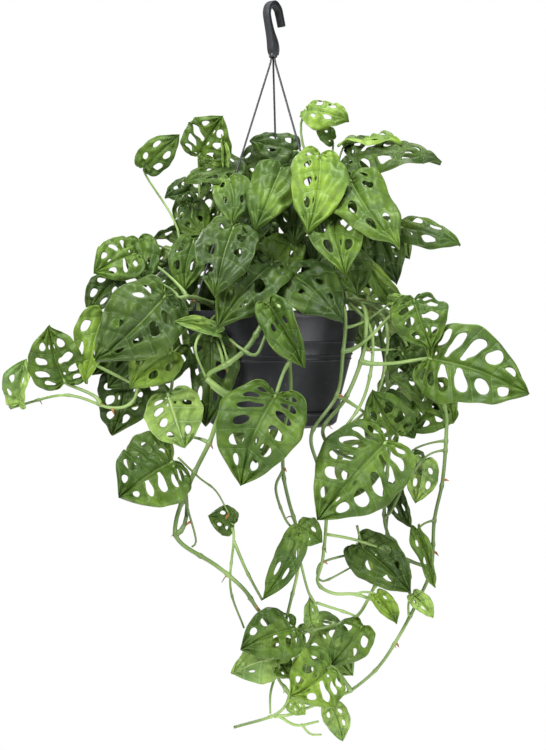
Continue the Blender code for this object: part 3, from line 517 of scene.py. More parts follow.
# Leaves that are seen between and behind the ones that are modelled as solids
MORE_LEAVES = (
    Leaf("more_top_left_1", (-7.2, -22.8, 1), (-7.5, -18.3, 2), 3, (0.2, 1, 0),
         "stem_up_left", 3.2, 10, 65, PALE, 0),
    Leaf("more_top_left_2", (-5.5, -23.6, 1), (-13, -25.6, 4), 6, (0, 0.6, 0.8),
         "stem_up_left", 3, 30, 10, DARK_GREEN, 1),
    Leaf("more_top_left_3", (-12.2, -26.6, 1), (-15.8, -27.6, 3), 5, (0.2, 1, 0.5),
         "stem_up_left", 3.6, 30, 35, DARK_GREEN, 0.6),
    Leaf("more_top_left_4", (-11.6, -33.8, 3), (-13, -41.3, 5), 5.6, (0, 1, 0.3),
         "stem_up_left", 3.5, 30, 12, GREEN, 0.8),
    Leaf("more_top_left_5", (-15, -37.5, -1), (-18.2, -40.4, 0), 5, (0, 1, 0.4),
         "stem_up_left", 3.8, 30, 10, DARK_GREEN, 0.8),
    Leaf("more_top_left_6", (-12.5, -28.6, -1), (-9.6, -33.4, 2), 5.5, (-0.2, 1, 0.4),
         "stem_up_left", 3.3, 30, 10, GREEN, 0.7),
    Leaf("more_top_1", (-2.2, -27.5, 0), (-6.4, -35.5, 4), 7, (-0.1, 1, 0.4),
         "stem_up_centre", 3, 30, 10, DARK_GREEN, 0.8),
    Leaf("more_top_2", (3.6, -26.5, 1), (3.2, -34.5, 5), 6.6, (0.1, 1, 0.3),
         "stem_up_centre", 2.8, 30, 10, DARK_GREEN, 0.8),
    Leaf("more_top_3", (-3.6, -33.5, 3), (-3.4, -41.5, 7), 7, (0, 1, 0.3),
         "stem_up_centre", 2, 30, 10, GREEN, 0.8),
    Leaf("more_top_right_1", (10.5, -19.8, -1), (18.9, -19.8, 2), 6, (0, 0.35, 1),
         "stem_up_right", 3.7, 30, 12, LIME, 0.8),
    Leaf("more_top_right_2", (8.7, -19.2, -1), (6.3, -17.9, 0), 3, (0, 1, 0.3),
         "stem_up_right", 3.9, 20, 15, GREEN, 0.4),
    Leaf("more_top_right_3", (17.3, -42.6, 3), (13.2, -35.6, 5), 4, (0.3, 1, 0),
         "stem_right", 1.6, 20, 35, LIME, 0.4),
    Leaf("more_top_right_4", (14.3, -31.6, -2), (18.1, -40.2, 1), 6, (0.2, 1, 0.4),
         "stem_up_right", 2, 30, 10, DARK_GREEN, 0.8),
    Leaf("more_top_right_5", (9.8, -23.8, -1), (14.6, -29.6, 3), 7, (0.2, 1, 0.4),
         "stem_up_right", 3.2, 30, 10, DARK_GREEN, 0.9),
    Leaf("more_right_1", (22.2, -66, 4), (21, -72.4, 5), 4.8, (0.2, -1, 0.2),
         "stem_far_right", 6.4, 20, 12, PALE, 0.7),
    Leaf("more_right_2", (17.2, -42.8, 6), (20.6, -42.4, 7), 3, (0, 1, 0.6),
         "stem_right_front", 3, 30, 55, PALE, 0),
    Leaf("more_right_3", (20.6, -65, 3), (22, -68.5, 4), 3, (0.5, 1, 0),
         "stem_far_right", 6.2, 20, 30, DARK_GREEN, 0.4),
    Leaf("more_right_4", (17.9, -69.6, 4), (20.5, -76, 5), 4, (-0.5, 1, 0),
         "stem_centre_right", 6, 20, 30, DARK_GREEN, 0.5),
    Leaf("more_left_1", (-8.2, -47.4, 12), (-14.5, -45.6, 13), 4.5, (0, 1, 0.3),
         "stem_front_left", 4, 20, 60, PALE, 0),
    Leaf("more_left_2", (-37, -57.6, 4.5), (-36.2, -51.1, 5), 6, (-0.6, 1, 0),
         "stem_far_left", 8, 15, 35, PALE, 0.8),
    Leaf("more_left_3", (-23, -39.5, 4), (-27.2, -44.7, 5), 5, (0, 1, 0.3),
         "stem_left", 2.4, 30, 15, DARK_GREEN, 0.9),
    Leaf("more_left_4", (-24.8, -44.5, 6), (-27.4, -54.8, 8), 6.5, (-0.3, 1, 0.2),
         "stem_left", 3, 25, 15, LIME, 0.9),
    Leaf("more_left_5", (-15.8, -42.5, 5), (-15, -49.3, 7), 5.6, (0.1, 1, 0.2),
         "stem_far_left", 2.5, 30, 15, DARK_GREEN, 0.7),
    Leaf("more_left_6", (-13.6, -56.3, 8), (-13.2, -61, 9), 3, (0.3, 1, 0),
         "stem_left", 5.9, 20, 15, DARK_GREEN, 0.4),
    Leaf("more_low_1", (-5.9, -75.5, 10), (-9.6, -74.3, 11), 4.2, (0, 1, 0.2),
         "side_stem_4", 0.2, 25, 10, DARK_GREEN, 0.6),
    Leaf("more_low_2", (3.7, -75.9, 12.5), (7.3, -78.2, 13.5), 4.2, (0, 1, 0.3),
         "stem_centre", 7.5, 25, 12, GREEN, 0.6),
    Leaf("more_low_3", (18, -80.8, 8), (20, -85, 9), 3.8, (0, 1, 0.2),
         "stem_far_right", 10, 20, 20, LIME, 0.5),
    Leaf("more_low_4", (21.5, -76.3, 7), (24, -85, 8), 4, (-0.8, 1, 0),
         "stem_far_right", 8, 15, 45, GREEN, 0.5),
    Leaf("more_low_5", (0.2, -94.5, 11.5), (3.8, -93.8, 12.5), 3.8, (0, 1, 0.3),
         "stem_centre_right", 10.5, 20, 15, LIME, 0.4),
    Leaf("more_low_6", (5.6, -90, 9), (5.4, -86.3, 10), 2.8, (0.4, 1, 0),
         "stem_centre_right", 9.5, 15, 30, PALE, 0),
    Leaf("more_low_7", (13.2, -90.7, 8), (8.4, -96.6, 10), 5.8, (0, 1, 0.3),
         "stem_centre_right", 8, 30, 10, GREEN, 1),
    Leaf("more_low_8", (15.3, -86, 9.5), (18.3, -90.4, 10), 3.6, (0.4, 1, 0),
         "stem_right_front", 13, 25, 40, LIME, 0.4),
    Leaf("more_low_9", (20.7, -86, 7.5), (23.7, -89.5, 8), 3.2, (0.2, 1, 0),
         "stem_far_right", 10.4, 20, 35, PALE, 0.4),
    Leaf("more_low_10", (2.8, -101.5, 9), (4.8, -104, 10), 3, (0, 1, 0),
         "stem_centre_right", 12.5, 20, 20, PALE, 0.4),
    Leaf("more_low_11", (1, -96, 10), (3, -98.5, 11), 3.2, (0, 1, 0.1),
         "stem_centre_right", 11.8, 20, 20, GREEN, 0.4),
    Leaf("more_back_1", (-9, -26, -5), (-14, -33, -9), 7, (-0.3, -1, 0.5),
         "stem_up_left", 3, 35, 10, GREEN, 0.9),
    Leaf("more_back_2", (-3, -24, -8), (-5, -33, -12), 8, (0, -1, 0.4),
         "stem_up_centre", 3, 35, 10, GREEN, 0.9),
    Leaf("more_back_3", (3, -22.6, -7), (4, -31, -12), 7.5, (0, -1, 0.5),
         "stem_up_centre", 3.5, 35, 10, DARK_GREEN, 0.9),
    Leaf("more_back_4", (9, -24, -8), (14, -32, -12), 8, (0.3, -1, 0.4),
         "stem_up_right", 3.2, 35, 10, GREEN, 0.9),
    Leaf("more_back_5", (13, -30, -6), (20, -36.5, -9), 8, (0.5, -1, 0.5),
         "stem_up_right", 2.3, 35, 10, DARK_GREEN, 0.9),
    Leaf("more_back_6", (-13, -33, -6), (-18, -40, -9), 7.5, (-0.5, -1, 0.5),
         "stem_up_left", 3, 35, 10, DARK_GREEN, 0.9),
    Leaf("more_back_7", (-2, -34, -10), (-2, -43, -17), 9, (0, -1, 0.5),
         "stem_up_centre", 1.5, 35, 10, DARK_GREEN, 0.9),
    Leaf("more_back_8", (-13, -42, -9), (-19, -50, -12), 9, (-0.6, -1, 0.3),
         "stem_back", 1.5, 35, 10, GREEN, 0.9),
    Leaf("more_back_9", (14, -42, -10), (19, -51, -13), 9.5, (0.6, -1, 0.3),
         "stem_centre_right", 2.2, 35, 10, GREEN, 0.9),
    Leaf("more_back_10", (10, -40, -14), (14, -50, -18.5), 8, (0.2, -1, 0.4),
         "stem_centre_right", 1.5, 35, 10, LIME, 0.9),
    Leaf("more_back_11", (-9, -43, -15), (-12, -53, -18), 8.5, (-0.2, -1, 0.3),
         "stem_back", 2, 35, 10, GREEN, 0.9),
    Leaf("more_back_12", (18, -54, -6), (21.5, -62, -8), 8, (0.5, -1, 0.2),
         "stem_centre_right", 3.3, 30, 10, DARK_GREEN, 0.9),
    Leaf("more_back_13", (-17, -51, -2), (-22, -59, -4), 8, (-0.5, -1, 0.2),
         "stem_far_left", 3.5, 30, 10, GREEN, 0.9),
    Leaf("more_back_14", (6, -52, -16), (8.5, -60, -18), 7.5, (0.2, -1, 0.2),
         "stem_back", 3.5, 30, 10, LIME, 0.9),
    Leaf("more_back_15", (-2, -59, -14), (-2.5, -66.5, -15), 7, (0, -1, 0.2),
         "stem_back", 5, 30, 10, GREEN, 0.9),
    Leaf("more_back_16", (14, -64, -2), (11, -72, -4), 7.5, (0, -1, 0.2),
         "stem_centre_right", 4.5, 30, 10, DARK_GREEN, 0.9),
    Leaf("more_back_17", (16, -77.5, 0), (15.5, -84, -1.5), 5, (0, -1, 0.2),
         "stem_centre_right", 6, 30, 10, GREEN, 0.8),
    Leaf("more_back_18", (-17, -63, 5), (-20, -70, 3), 6.5, (-0.3, -1, 0.2),
         "stem_front_left", 9, 30, 10, DARK_GREEN, 0.8),
    Leaf("more_back_19", (5, -96, 5), (4, -101.5, 4), 5, (0, -1, 0.2),
         "stem_centre_right", 11, 30, 10, GREEN, 0.8),
    Leaf("more_left_7", (-17.5, -44.5, 5), (-22.5, -50.5, 6), 7, (-0.2, 1, 0.2),
         "stem_far_left", 2.6, 30, 12, DARK_GREEN, 0.6),
    Leaf("more_left_8", (-22.5, -47, 4), (-26.5, -53.5, 5), 6.5, (-0.2, 1, 0.1),
         "stem_far_left", 3, 30, 12, GREEN, 0.8),
    Leaf("more_left_9", (-18.2, -50.5, 5), (-24.3, -55.4, 6), 6.5, (0.2, 1, 0.3),
         "stem_far_left", 3.4, 30, 12, DARK_GREEN, 0.8),
    Leaf("more_left_10", (-12.5, -38.5, 3), (-17.5, -43.4, 4), 6, (0, 1, 0.4),
         "stem_up_left", 2.6, 30, 12, DARK_GREEN, 0.5),
    Leaf("more_left_11", (-13.6, -49, 6.5), (-17.8, -55.2, 7.5), 5.8, (0.2, 1, 0.2),
         "stem_left", 4.4, 30, 12, GREEN, 0.7),
    Leaf("more_left_12", (-19.6, -33.6, 3), (-18.6, -40.6, 5), 5.6, (-0.3, 1, 0.2),
         "stem_up_left", 3.9, 30, 14, GREEN, 0.7),
    Leaf("more_top_4", (-0.5, -29, -3), (-1.2, -38, 0), 8, (0, 1, 0.3),
         "stem_up_centre", 2.6, 30, 12, DARK_GREEN, 0.4),
    Leaf("more_top_5", (-8, -29.6, -1), (-9.6, -37.8, 2), 7, (-0.1, 1, 0.3),
         "stem_up_left", 2.4, 30, 12, DARK_GREEN, 0.5),
    Leaf("more_top_6", (6.2, -30, -2), (5.4, -39, 1), 7.6, (0, 1, 0.3),
         "stem_up_right", 2.2, 30, 12, DARK_GREEN, 0.5),
    Leaf("more_top_7", (2.4, -34, 3), (-1.8, -41.4, 5), 6.4, (0, 1, 0.4),
         "stem_up_centre", 1.9, 30, 12, GREEN, 0.4),
    Leaf("more_top_8", (-8.8, -21.8, -3), (-4, -28.6, 0), 6.6, (0.1, 1, 0.5),
         "stem_up_centre", 3.6, 30, 12, DARK_GREEN, 0.6),
    Leaf("more_top_9", (3.4, -20.8, -4), (-3.4, -19.4, -3), 6.2, (0, 1, 0.6),
         "stem_up_centre", 3.9, 30, 12, DARK_GREEN, 0.6),
    Leaf("more_top_right_6", (12, -34, -1), (15.4, -41.2, 2), 6.6, (0.1, 1, 0.3),
         "stem_up_right", 1.8, 30, 12, DARK_GREEN, 0.5),
    Leaf("more_right_5", (19, -47.6, 2), (23.6, -54.6, 4), 6.6, (0.2, 1, 0.2),
         "stem_far_right", 3, 30, 12, DARK_GREEN, 0.8),
    Leaf("more_right_6", (22, -55, 1), (26.6, -60.4, 3), 6, (0.2, 1, 0.2),
         "stem_far_right", 4, 30, 12, GREEN, 0.8),
    Leaf("more_right_7", (16, -57.4, 3), (20.8, -62.8, 4), 6, (0.1, 1, 0.3),
         "stem_centre_right", 3.8, 30, 12, GREEN, 0.8),
    Leaf("more_rim_1", (4, -38.6, -3), (9.4, -44.4, -5), 7.5, (0, 1, 0.2),
         "stem_up_right", 1, 25, 10, DARK_GREEN, 0.3),
    Leaf("more_rim_2", (-6, -39.4, -3), (-10.4, -44.4, -4), 7, (0, 1, 0.2),
         "stem_up_left", 1, 25, 10, DARK_GREEN, 0.4),
    Leaf("more_rim_3", (-1.4, -38.4, 1), (2.4, -44.6, 3), 7, (0, 1, 0.2),
         "stem_up_centre", 1.2, 25, 10, DARK_GREEN, 0.3),
    Leaf("more_side_1", (17, -45, -4), (20.5, -53, -5), 8, (1, -0.3, 0.3),
         "stem_far_right", 2, 30, 10, GREEN, 0.9),
    Leaf("more_side_2", (-15, -46, -5), (-19.5, -54, -7), 8, (-1, -0.4, 0.3),
         "stem_far_left", 2, 30, 10, GREEN, 0.9),
)


class PotSizes(bpy.types.PropertyGroup):
    """Sizes and colours of the pot, the saucer, the soil and the hanger."""

    rim_radius: FloatProperty(
        name="Rim radius", description="Outer radius of the pot's rim", default=RIM_RADIUS * CM,
        unit="LENGTH", subtype="DISTANCE")
    wall: FloatProperty(
        name="Wall", description="Thickness of the pot's wall", default=WALL * CM,
        unit="LENGTH", subtype="DISTANCE")
    pot_colour: FloatVectorProperty(
        name="Pot colour", description="Colour of the pot's plastic",
        default=(0.013, 0.0135, 0.0155), size=3, subtype="COLOR")
    hook_colour: FloatVectorProperty(
        name="Hanger colour", description="Colour of the hook and the rods",
        default=(0.03, 0.031, 0.034), size=3, subtype="COLOR")
    soil_bits: IntProperty(
        name="Soil bits", description="How many crumbs, bark chips and white grains lie on the soil",
        default=420)


class LeafLooks(bpy.types.PropertyGroup):
    """Sizes and colours of the leaves and their stalks."""

    thickness: FloatProperty(
        name="Thickness", description="Thickness of a blade", default=0.00045,
        unit="LENGTH", subtype="DISTANCE")
    strip_width: FloatProperty(
        name="Strip width", description="Spacing of the side veins along the blade's edge",
        default=0.0122, unit="LENGTH", subtype="DISTANCE")
    relief: FloatProperty(
        name="Relief", description="How far the blade swells between two side veins",
        default=0.0039, unit="LENGTH", subtype="DISTANCE")
    wave: FloatProperty(
        name="Wave", description="How far the blade's edge waves", default=0.0075,
        unit="LENGTH", subtype="DISTANCE")
    stalk_radius: FloatProperty(
        name="Stalk radius", description="Radius of a leaf stalk at its middle", default=0.0022,
        unit="LENGTH", subtype="DISTANCE")
    green: FloatVectorProperty(
        name="Green", description="Colour of a full grown leaf", default=(0.064, 0.135, 0.018),
        size=3, subtype="COLOR")
    dark: FloatVectorProperty(
        name="Dark green", description="Colour of an old leaf", default=(0.036, 0.08, 0.012),
        size=3, subtype="COLOR")
    lime: FloatVectorProperty(
        name="Lime", description="Colour of a young leaf", default=(0.122, 0.232, 0.03),
        size=3, subtype="COLOR")
    pale: FloatVectorProperty(
        name="Pale", description="Colour of a leaf's underside", default=(0.19, 0.335, 0.085),
        size=3, subtype="COLOR")
    stalk: FloatVectorProperty(
        name="Stalk", description="Colour of a leaf stalk", default=(0.2, 0.33, 0.08),
        size=3, subtype="COLOR")


class StemLooks(bpy.types.PropertyGroup):
    """Sizes and colours of the stems and roots."""

    colour: FloatVectorProperty(
        name="Stem colour", description="Colour of a stem's skin", default=(0.19, 0.31, 0.075),
        size=3, subtype="COLOR")
    swell: FloatProperty(
        name="Node swell", description="How much thicker a stem is at a node", default=0.38,
        subtype="FACTOR")
    spacing: FloatProperty(
        name="Node spacing", description="Longest bare stretch between two nodes", default=0.062,
        unit="LENGTH", subtype="DISTANCE")
    root_length: FloatProperty(
        name="Root length", description="Length of a root stub at a node", default=0.009,
        unit="LENGTH", subtype="DISTANCE")


class StageLooks(bpy.types.PropertyGroup):
    """The floor, the lights and the room."""

    floor_drop: FloatProperty(
        name="Floor drop", description="How far under the plant's tip the floor is", default=0.35,
        unit="LENGTH", subtype="DISTANCE")
    key_power: FloatProperty(
        name="Key light", description="Power of the large light at the front left", default=78,
        unit="POWER")
    fill_power: FloatProperty(
        name="Fill light", description="Power of the soft lights at the front right and the back",
        default=36, unit="POWER")
    top_power: FloatProperty(
        name="Top light", description="Power of the light over the plant", default=60,
        unit="POWER")
    room: FloatProperty(
        name="Room", description="Brightness of the white room", default=0.3, subtype="FACTOR")


# Places and directions

def world(place):
    """The place in metres of a point given as it is seen, with how near it is."""
    across, up, near = place
    share = (VIEW_DISTANCE - near) / VIEW_DISTANCE
    return np.array((across * share, -near, VIEW_HEIGHT + (up - VIEW_HEIGHT) * share)) * CM


def unit(vector):
    """The vector at length 1."""
    return vector / np.linalg.norm(vector)


def smooth_line(points, samples):
    """A smooth curve through the points, with this many pieces between one and the next."""
    points = [np.asarray(point, float) for point in points]
    padded = [2 * points[0] - points[1], *points, 2 * points[-1] - points[-2]]
    found = []
    for before, start, end, after in zip(padded, padded[1:], padded[2:], padded[3:]):
        for step in range(samples):
            t = step / samples
            found.append(0.5 * (
                2 * start
                + (end - before) * t
                + (2 * before - 5 * start + 4 * end - after) * t**2
                + (3 * start - before - 3 * end + after) * t**3
            ))
    return [*found, points[-1]]


def stem_line(stem):
    """The stem's middle line, out of the soil and then smoothly through its points."""
    points = [world(point) for point in stem.points]
    if stem.foot:
        across, near = stem.foot
        foot = np.array((across, -near, SOIL_TOP - SOIL_COVER)) * CM
        points.insert(0, foot + np.array((0, 0, STEM_FOOT + SOIL_COVER)) * CM)
        return [foot, *smooth_line(points, STEM_SAMPLES)]
    return smooth_line(points, STEM_SAMPLES)


def node_on(stem, node):
    """Where a stalk leaves the stem, and the stem's direction there."""
    line = stem_line(stem)
    if stem.foot:
        line = line[1:]
    place = min(node * STEM_SAMPLES, len(line) - 1.01)
    start = line[int(place)]
    end = line[int(place) + 1]
    return start + (place % 1) * (end - start), unit(end - start)


def blade_frame(leaf):
    """The leaf's base, the direction to its tip, its right side, its upper side and its length."""
    base = world(leaf.base)
    tip = world(leaf.tip)
    length = np.linalg.norm(tip - base)
    along = (tip - base) / length
    right, near, up = leaf.face
    faces = np.array((right, -near, up))
    upper = unit(faces - faces.dot(along) * along)
    return base, along, np.cross(along, upper), upper, length


def stalk_points(leaf, stem):
    """The leaf stalk's middle line, from inside its stem to just under the base of the blade."""
    base, along, _across, upper, _length = blade_frame(leaf)
    node, stem_way = node_on(stem, leaf.node)
    away = base - node
    away = unit(away - away.dot(stem_way) * stem_way)
    reach = np.linalg.norm(base - node)
    first = node + away * STALK_SPREAD * reach
    second = base - along * STALK_END_BEND[0] * reach - upper * STALK_END_BEND[1] * reach
    found = []
    for step in range(STALK_SAMPLES):
        t = step / STALK_SAMPLES
        found.append(
            (1 - t) ** 3 * node + 3 * (1 - t) ** 2 * t * first
            + 3 * (1 - t) * t**2 * second + t**3 * base
        )
    under = upper * STALK_UNDER * CM
    return [*found, base - under, base + along * STALK_IN_BLADE * CM - under]


# Modelling helpers

def deselect():
    """Leaves edit mode and deselects everything."""
    if bpy.context.object and bpy.context.object.mode != "OBJECT":
        bpy.ops.object.mode_set(mode="OBJECT")
    bpy.ops.object.select_all(action="DESELECT")


def make_active(obj):
    """Selects only this object and makes it the active one."""
    deselect()
    obj.select_set(True)
    bpy.context.view_layer.objects.active = obj


def apply_modifier(obj, kind, **settings):
    """A modifier with these settings, applied at once."""
    make_active(obj)
    modifier = obj.modifiers.new(kind.title(), kind)
    for setting, value in settings.items():
        setattr(modifier, setting, value)
    bpy.ops.object.modifier_apply(modifier=modifier.name)


def coordinates(mesh):
    """The places of the mesh's vertices, one row for each."""
    found = np.empty(3 * len(mesh.vertices))
    mesh.vertices.foreach_get("co", found)
    return found.reshape(-1, 3)


def set_coordinates(mesh, places):
    """Puts the mesh's vertices at these places."""
    mesh.vertices.foreach_set("co", np.asarray(places, float).ravel())
    mesh.update()


def weld(threshold, outwards=True):
    """Merges the active mesh's doubles, and turns its faces outwards where it is closed."""
    bpy.ops.object.mode_set(mode="EDIT")
    bpy.ops.mesh.select_all(action="SELECT")
    bpy.ops.mesh.remove_doubles(threshold=threshold)
    if outwards:
        bpy.ops.mesh.normals_make_consistent(inside=False)
    bpy.ops.object.mode_set(mode="OBJECT")


def smooth_under(obj, degrees):
    """Shades the object smooth, apart from edges sharper than this."""
    make_active(obj)
    bpy.ops.object.shade_smooth_by_angle(angle=math.radians(degrees))


def join(pieces, name):
    """The pieces as one object of this name. The first piece's materials come first."""
    deselect()
    for piece in pieces:
        piece.select_set(True)
    bpy.context.view_layer.objects.active = pieces[0]
    if len(pieces) > 1:
        bpy.ops.object.join()
    found = bpy.context.object
    found.name = name
    return found


def tube(name, points, radii, surface):
    """A round tube along the points, with closed ends, as a mesh. Radii are in metres."""
    deselect()
    bpy.ops.curve.primitive_nurbs_path_add()
    obj = bpy.context.object
    obj.name = name
    curve = obj.data
    curve.splines.clear()
    curve.bevel_depth = 1.0
    curve.bevel_resolution = TUBE_SIDES_STEP
    curve.use_fill_caps = True
    spline = curve.splines.new("POLY")
    spline.points.add(len(points) - 1)
    for control, point, radius in zip(spline.points, points, radii):
        control.co = (*point, 1)
        control.radius = radius
    make_active(obj)
    bpy.ops.object.convert(target="MESH")
    weld(TUBE_WELD)
    bpy.ops.object.shade_smooth()
    obj = bpy.context.object
    obj.data.materials.append(surface)
    return obj


def finish(obj, node_names):
    """The piece rides on the plant and stands for these solids."""
    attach(obj, ROOT)
    if node_names:
        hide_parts(*node_names)


# Materials

class Paint:
    """A material that is being painted: short ways to add and join its nodes."""

    def __init__(self, name):
        self.material = bpy.data.materials.new(f"{name}_finish")
        self.material.use_nodes = True
        self.tree = self.material.node_tree
        self.shader = self.tree.nodes["Principled BSDF"]
        self.place = self.add("ShaderNodeTexCoord").outputs["Object"]

    def add(self, kind, **settings):
        """A new node of this kind with these settings."""
        node = self.tree.nodes.new(kind)
        for setting, value in settings.items():
            setattr(node, setting, value)
        return node

    def feed(self, socket, value):
        """Links the value to the socket, or sets it there if it is a plain one."""
        if isinstance(value, bpy.types.NodeSocket):
            self.tree.links.new(value, socket)
        else:
            socket.default_value = value

    def noise(self, scale, detail=3.0, roughness=0.5):
        """Cloudy noise from 0 to 1, with this many clouds in a metre."""
        node = self.add("ShaderNodeTexNoise")
        self.feed(node.inputs["Vector"], self.place)
        node.inputs["Scale"].default_value = scale
        node.inputs["Detail"].default_value = detail
        node.inputs["Roughness"].default_value = roughness
        return node.outputs["Fac"]

    def cells(self, scale, feature="F1"):
        """The distance to a cell's middle or edge, with this many cells in a metre."""
        node = self.add("ShaderNodeTexVoronoi", feature=feature)
        self.feed(node.inputs["Vector"], self.place)
        node.inputs["Scale"].default_value = scale
        return node.outputs["Distance"]

    def math(self, operation, first, second=0.0):
        """The result of one sum."""
        node = self.add("ShaderNodeMath", operation=operation)
        self.feed(node.inputs[0], first)
        self.feed(node.inputs[1], second)
        return node.outputs[0]

    def span(self, value, low, high, to_low=0.0, to_high=1.0):
        """The value, spread softly from the stretch low to high over to_low to to_high."""
        node = self.add("ShaderNodeMapRange", interpolation_type="SMOOTHSTEP")
        self.feed(node.inputs["Value"], value)
        node.inputs["From Min"].default_value = low
        node.inputs["From Max"].default_value = high
        node.inputs["To Min"].default_value = to_low
        node.inputs["To Max"].default_value = to_high
        return node.outputs["Result"]

    def mix(self, share, first, second):
        """The first colour, with this share of the second."""
        node = self.add("ShaderNodeMix", data_type="RGBA")
        self.feed(node.inputs["Factor"], share)
        self.feed(node.inputs[6], self.rgba(first))
        self.feed(node.inputs[7], self.rgba(second))
        return node.outputs[2]

    def rgba(self, colour):
        """A colour as a socket takes it: itself if it is one, and else with an alpha of 1."""
        if isinstance(colour, bpy.types.NodeSocket):
            return colour
        return (*colour[:3], 1.0)

    def bump(self, height, strength, distance, normal=None):
        """A relief of this height, on top of the one that normal holds."""
        node = self.add("ShaderNodeBump")
        node.inputs["Strength"].default_value = strength
        node.inputs["Distance"].default_value = distance
        self.feed(node.inputs["Height"], height)
        if normal is not None:
            self.feed(node.inputs["Normal"], normal)
        return node.outputs["Normal"]

    def wear(self, colour, roughness, normal=None, gloss=0.5):
        """The material, with this colour, roughness, relief and strength of reflection."""
        self.feed(self.shader.inputs["Base Color"], self.rgba(colour))
        self.feed(self.shader.inputs["Roughness"], roughness)
        if normal is not None:
            self.feed(self.shader.inputs["Normal"], normal)
        self.shader.inputs["Specular IOR Level"].default_value = gloss
        return self.material


def painted(skin):
    """A skin that is painted when its name is first asked for, and found by its name after that."""
    def found(name, *looks):
        return bpy.data.materials.get(f"{name}_finish") or skin(Paint(name), *looks)
    return found


def scaled(colour, share):
    """The colour, this much brighter."""
    return tuple(part * share for part in colour)


def blended(first, second, share):
    """The first colour, with this share of the second."""
    return tuple(a + (b - a) * share for a, b in zip(first, second))


@painted
def leaf_skin(paint, colour, vein_colour, vein_share, sheen):
    """A leaf's skin: blotchy green with pale veins, painted shade in the crease beside each side vein,
    fine net veins and a satin gloss.
    """
    chart = paint.add("ShaderNodeUVMap", uv_map=LEAF_MAP).outputs["UV"]
    parts = paint.add("ShaderNodeSeparateXYZ")
    paint.feed(parts.inputs[0], chart)
    strip, side = parts.outputs[0], parts.outputs[1]
    reach = paint.math("ABSOLUTE", side)
    from_vein = paint.math("PINGPONG", strip, 0.5)
    side_vein = paint.span(from_vein, *SIDE_VEIN)
    vein_crease_shade = paint.span(from_vein, *VEIN_CREASE_SHADE)
    midrib = paint.span(reach, *MIDRIB)
    blotch = paint.noise(scale=16.0, detail=3.0)
    cloud = paint.noise(scale=60.0, detail=4.0, roughness=0.6)
    warm = (colour[0] * 1.5, colour[1] * 1.25, colour[2])
    skin = paint.mix(paint.span(blotch, 0.35, 0.65), scaled(colour, 0.6), warm)
    skin = paint.mix(paint.span(cloud, 0.35, 0.75, 0.0, 0.55), skin, scaled(colour, 0.45))
    # Painted shade: the skin is darkened in the crease beside each side vein
    skin = paint.mix(paint.math("MULTIPLY", vein_crease_shade, 0.35), skin, scaled(colour, 0.6))
    net = paint.cells(scale=520.0, feature="DISTANCE_TO_EDGE")
    net_line = paint.span(net, 0.06, 0.0, 0.0, 0.22)
    skin = paint.mix(net_line, skin, vein_colour)
    line = paint.math("MAXIMUM", paint.math("MULTIPLY", side_vein, 0.55), midrib)
    skin = paint.mix(paint.math("MULTIPLY", line, vein_share), skin, vein_colour)
    skin = paint.mix(paint.span(reach, *PALE_EDGE, 0.0, 0.55), skin, vein_colour)
    grooves = paint.bump(paint.math("MULTIPLY", line, -1.0), strength=0.8, distance=0.0012)
    grain = paint.bump(paint.noise(150.0, 4.0, 0.6), 0.6, 0.0015, grooves)
    crinkle = paint.bump(paint.noise(62.0, 3.0, 0.5), 0.5, 0.004, grain)
    net_relief = paint.bump(net, 0.25, 0.0008, crinkle)
    roughness = paint.span(cloud, 0.3, 0.7, sheen - 0.06, sheen + 0.08)
    return paint.wear(skin, roughness, net_relief, gloss=0.22)


@painted
def stalk_skin(paint, colour):
    """The green skin of a stem or stalk, with light and dark stretches, specks and a soft gloss."""
    cloud = paint.noise(scale=22.0, detail=3.0)
    age = paint.noise(scale=5.5, detail=2.0)
    speck = paint.noise(scale=700.0, detail=2.0)
    light = blended(colour, STALK_LIGHT, 0.35)
    fresh = paint.mix(paint.span(cloud, 0.32, 0.68), scaled(colour, 0.8), light)
    skin = paint.mix(paint.span(age, 0.38, 0.58), scaled(colour, 0.5), fresh)
    skin = paint.mix(paint.span(speck, 0.6, 0.75, 0.0, 0.35), skin, STALK_SPECK)
    scar = paint.noise(scale=34.0, detail=4.0, roughness=0.6)
    skin = paint.mix(paint.span(scar, 0.66, 0.8, 0.0, 0.5), skin, STALK_SCAR)
    normal = paint.bump(paint.noise(300.0, 3.0), strength=0.2, distance=0.0005)
    return paint.wear(skin, paint.span(cloud, 0.3, 0.7, 0.38, 0.52), normal)


@painted
def root_skin(paint):
    """The brown, rough skin of a root stub."""
    cloud = paint.noise(scale=160.0, detail=4.0, roughness=0.6)
    skin = paint.mix(paint.span(cloud, 0.35, 0.65), ROOT_DARK, ROOT_LIGHT)
    normal = paint.bump(paint.noise(500.0, 3.0), strength=0.5, distance=0.0006)
    return paint.wear(skin, 0.85, normal)


@painted
def pot_plastic(paint, colour):
    """Dark moulded plastic: satin, with a fine grain, dull patches and a little pale dust."""
    cloud = paint.noise(scale=9.0, detail=4.0, roughness=0.55)
    dust = paint.noise(scale=85.0, detail=5.0, roughness=0.65)
    grain = paint.noise(scale=900.0, detail=2.0)
    skin = paint.mix(paint.span(cloud, 0.3, 0.7), scaled(colour, 0.8), scaled(colour, 1.35))
    skin = paint.mix(paint.span(dust, 0.55, 0.8, 0.0, 0.22), skin, DUST)
    normal = paint.bump(grain, strength=0.16, distance=0.0004)
    return paint.wear(skin, paint.span(cloud, 0.3, 0.7, 0.3, 0.42), normal, gloss=0.3)


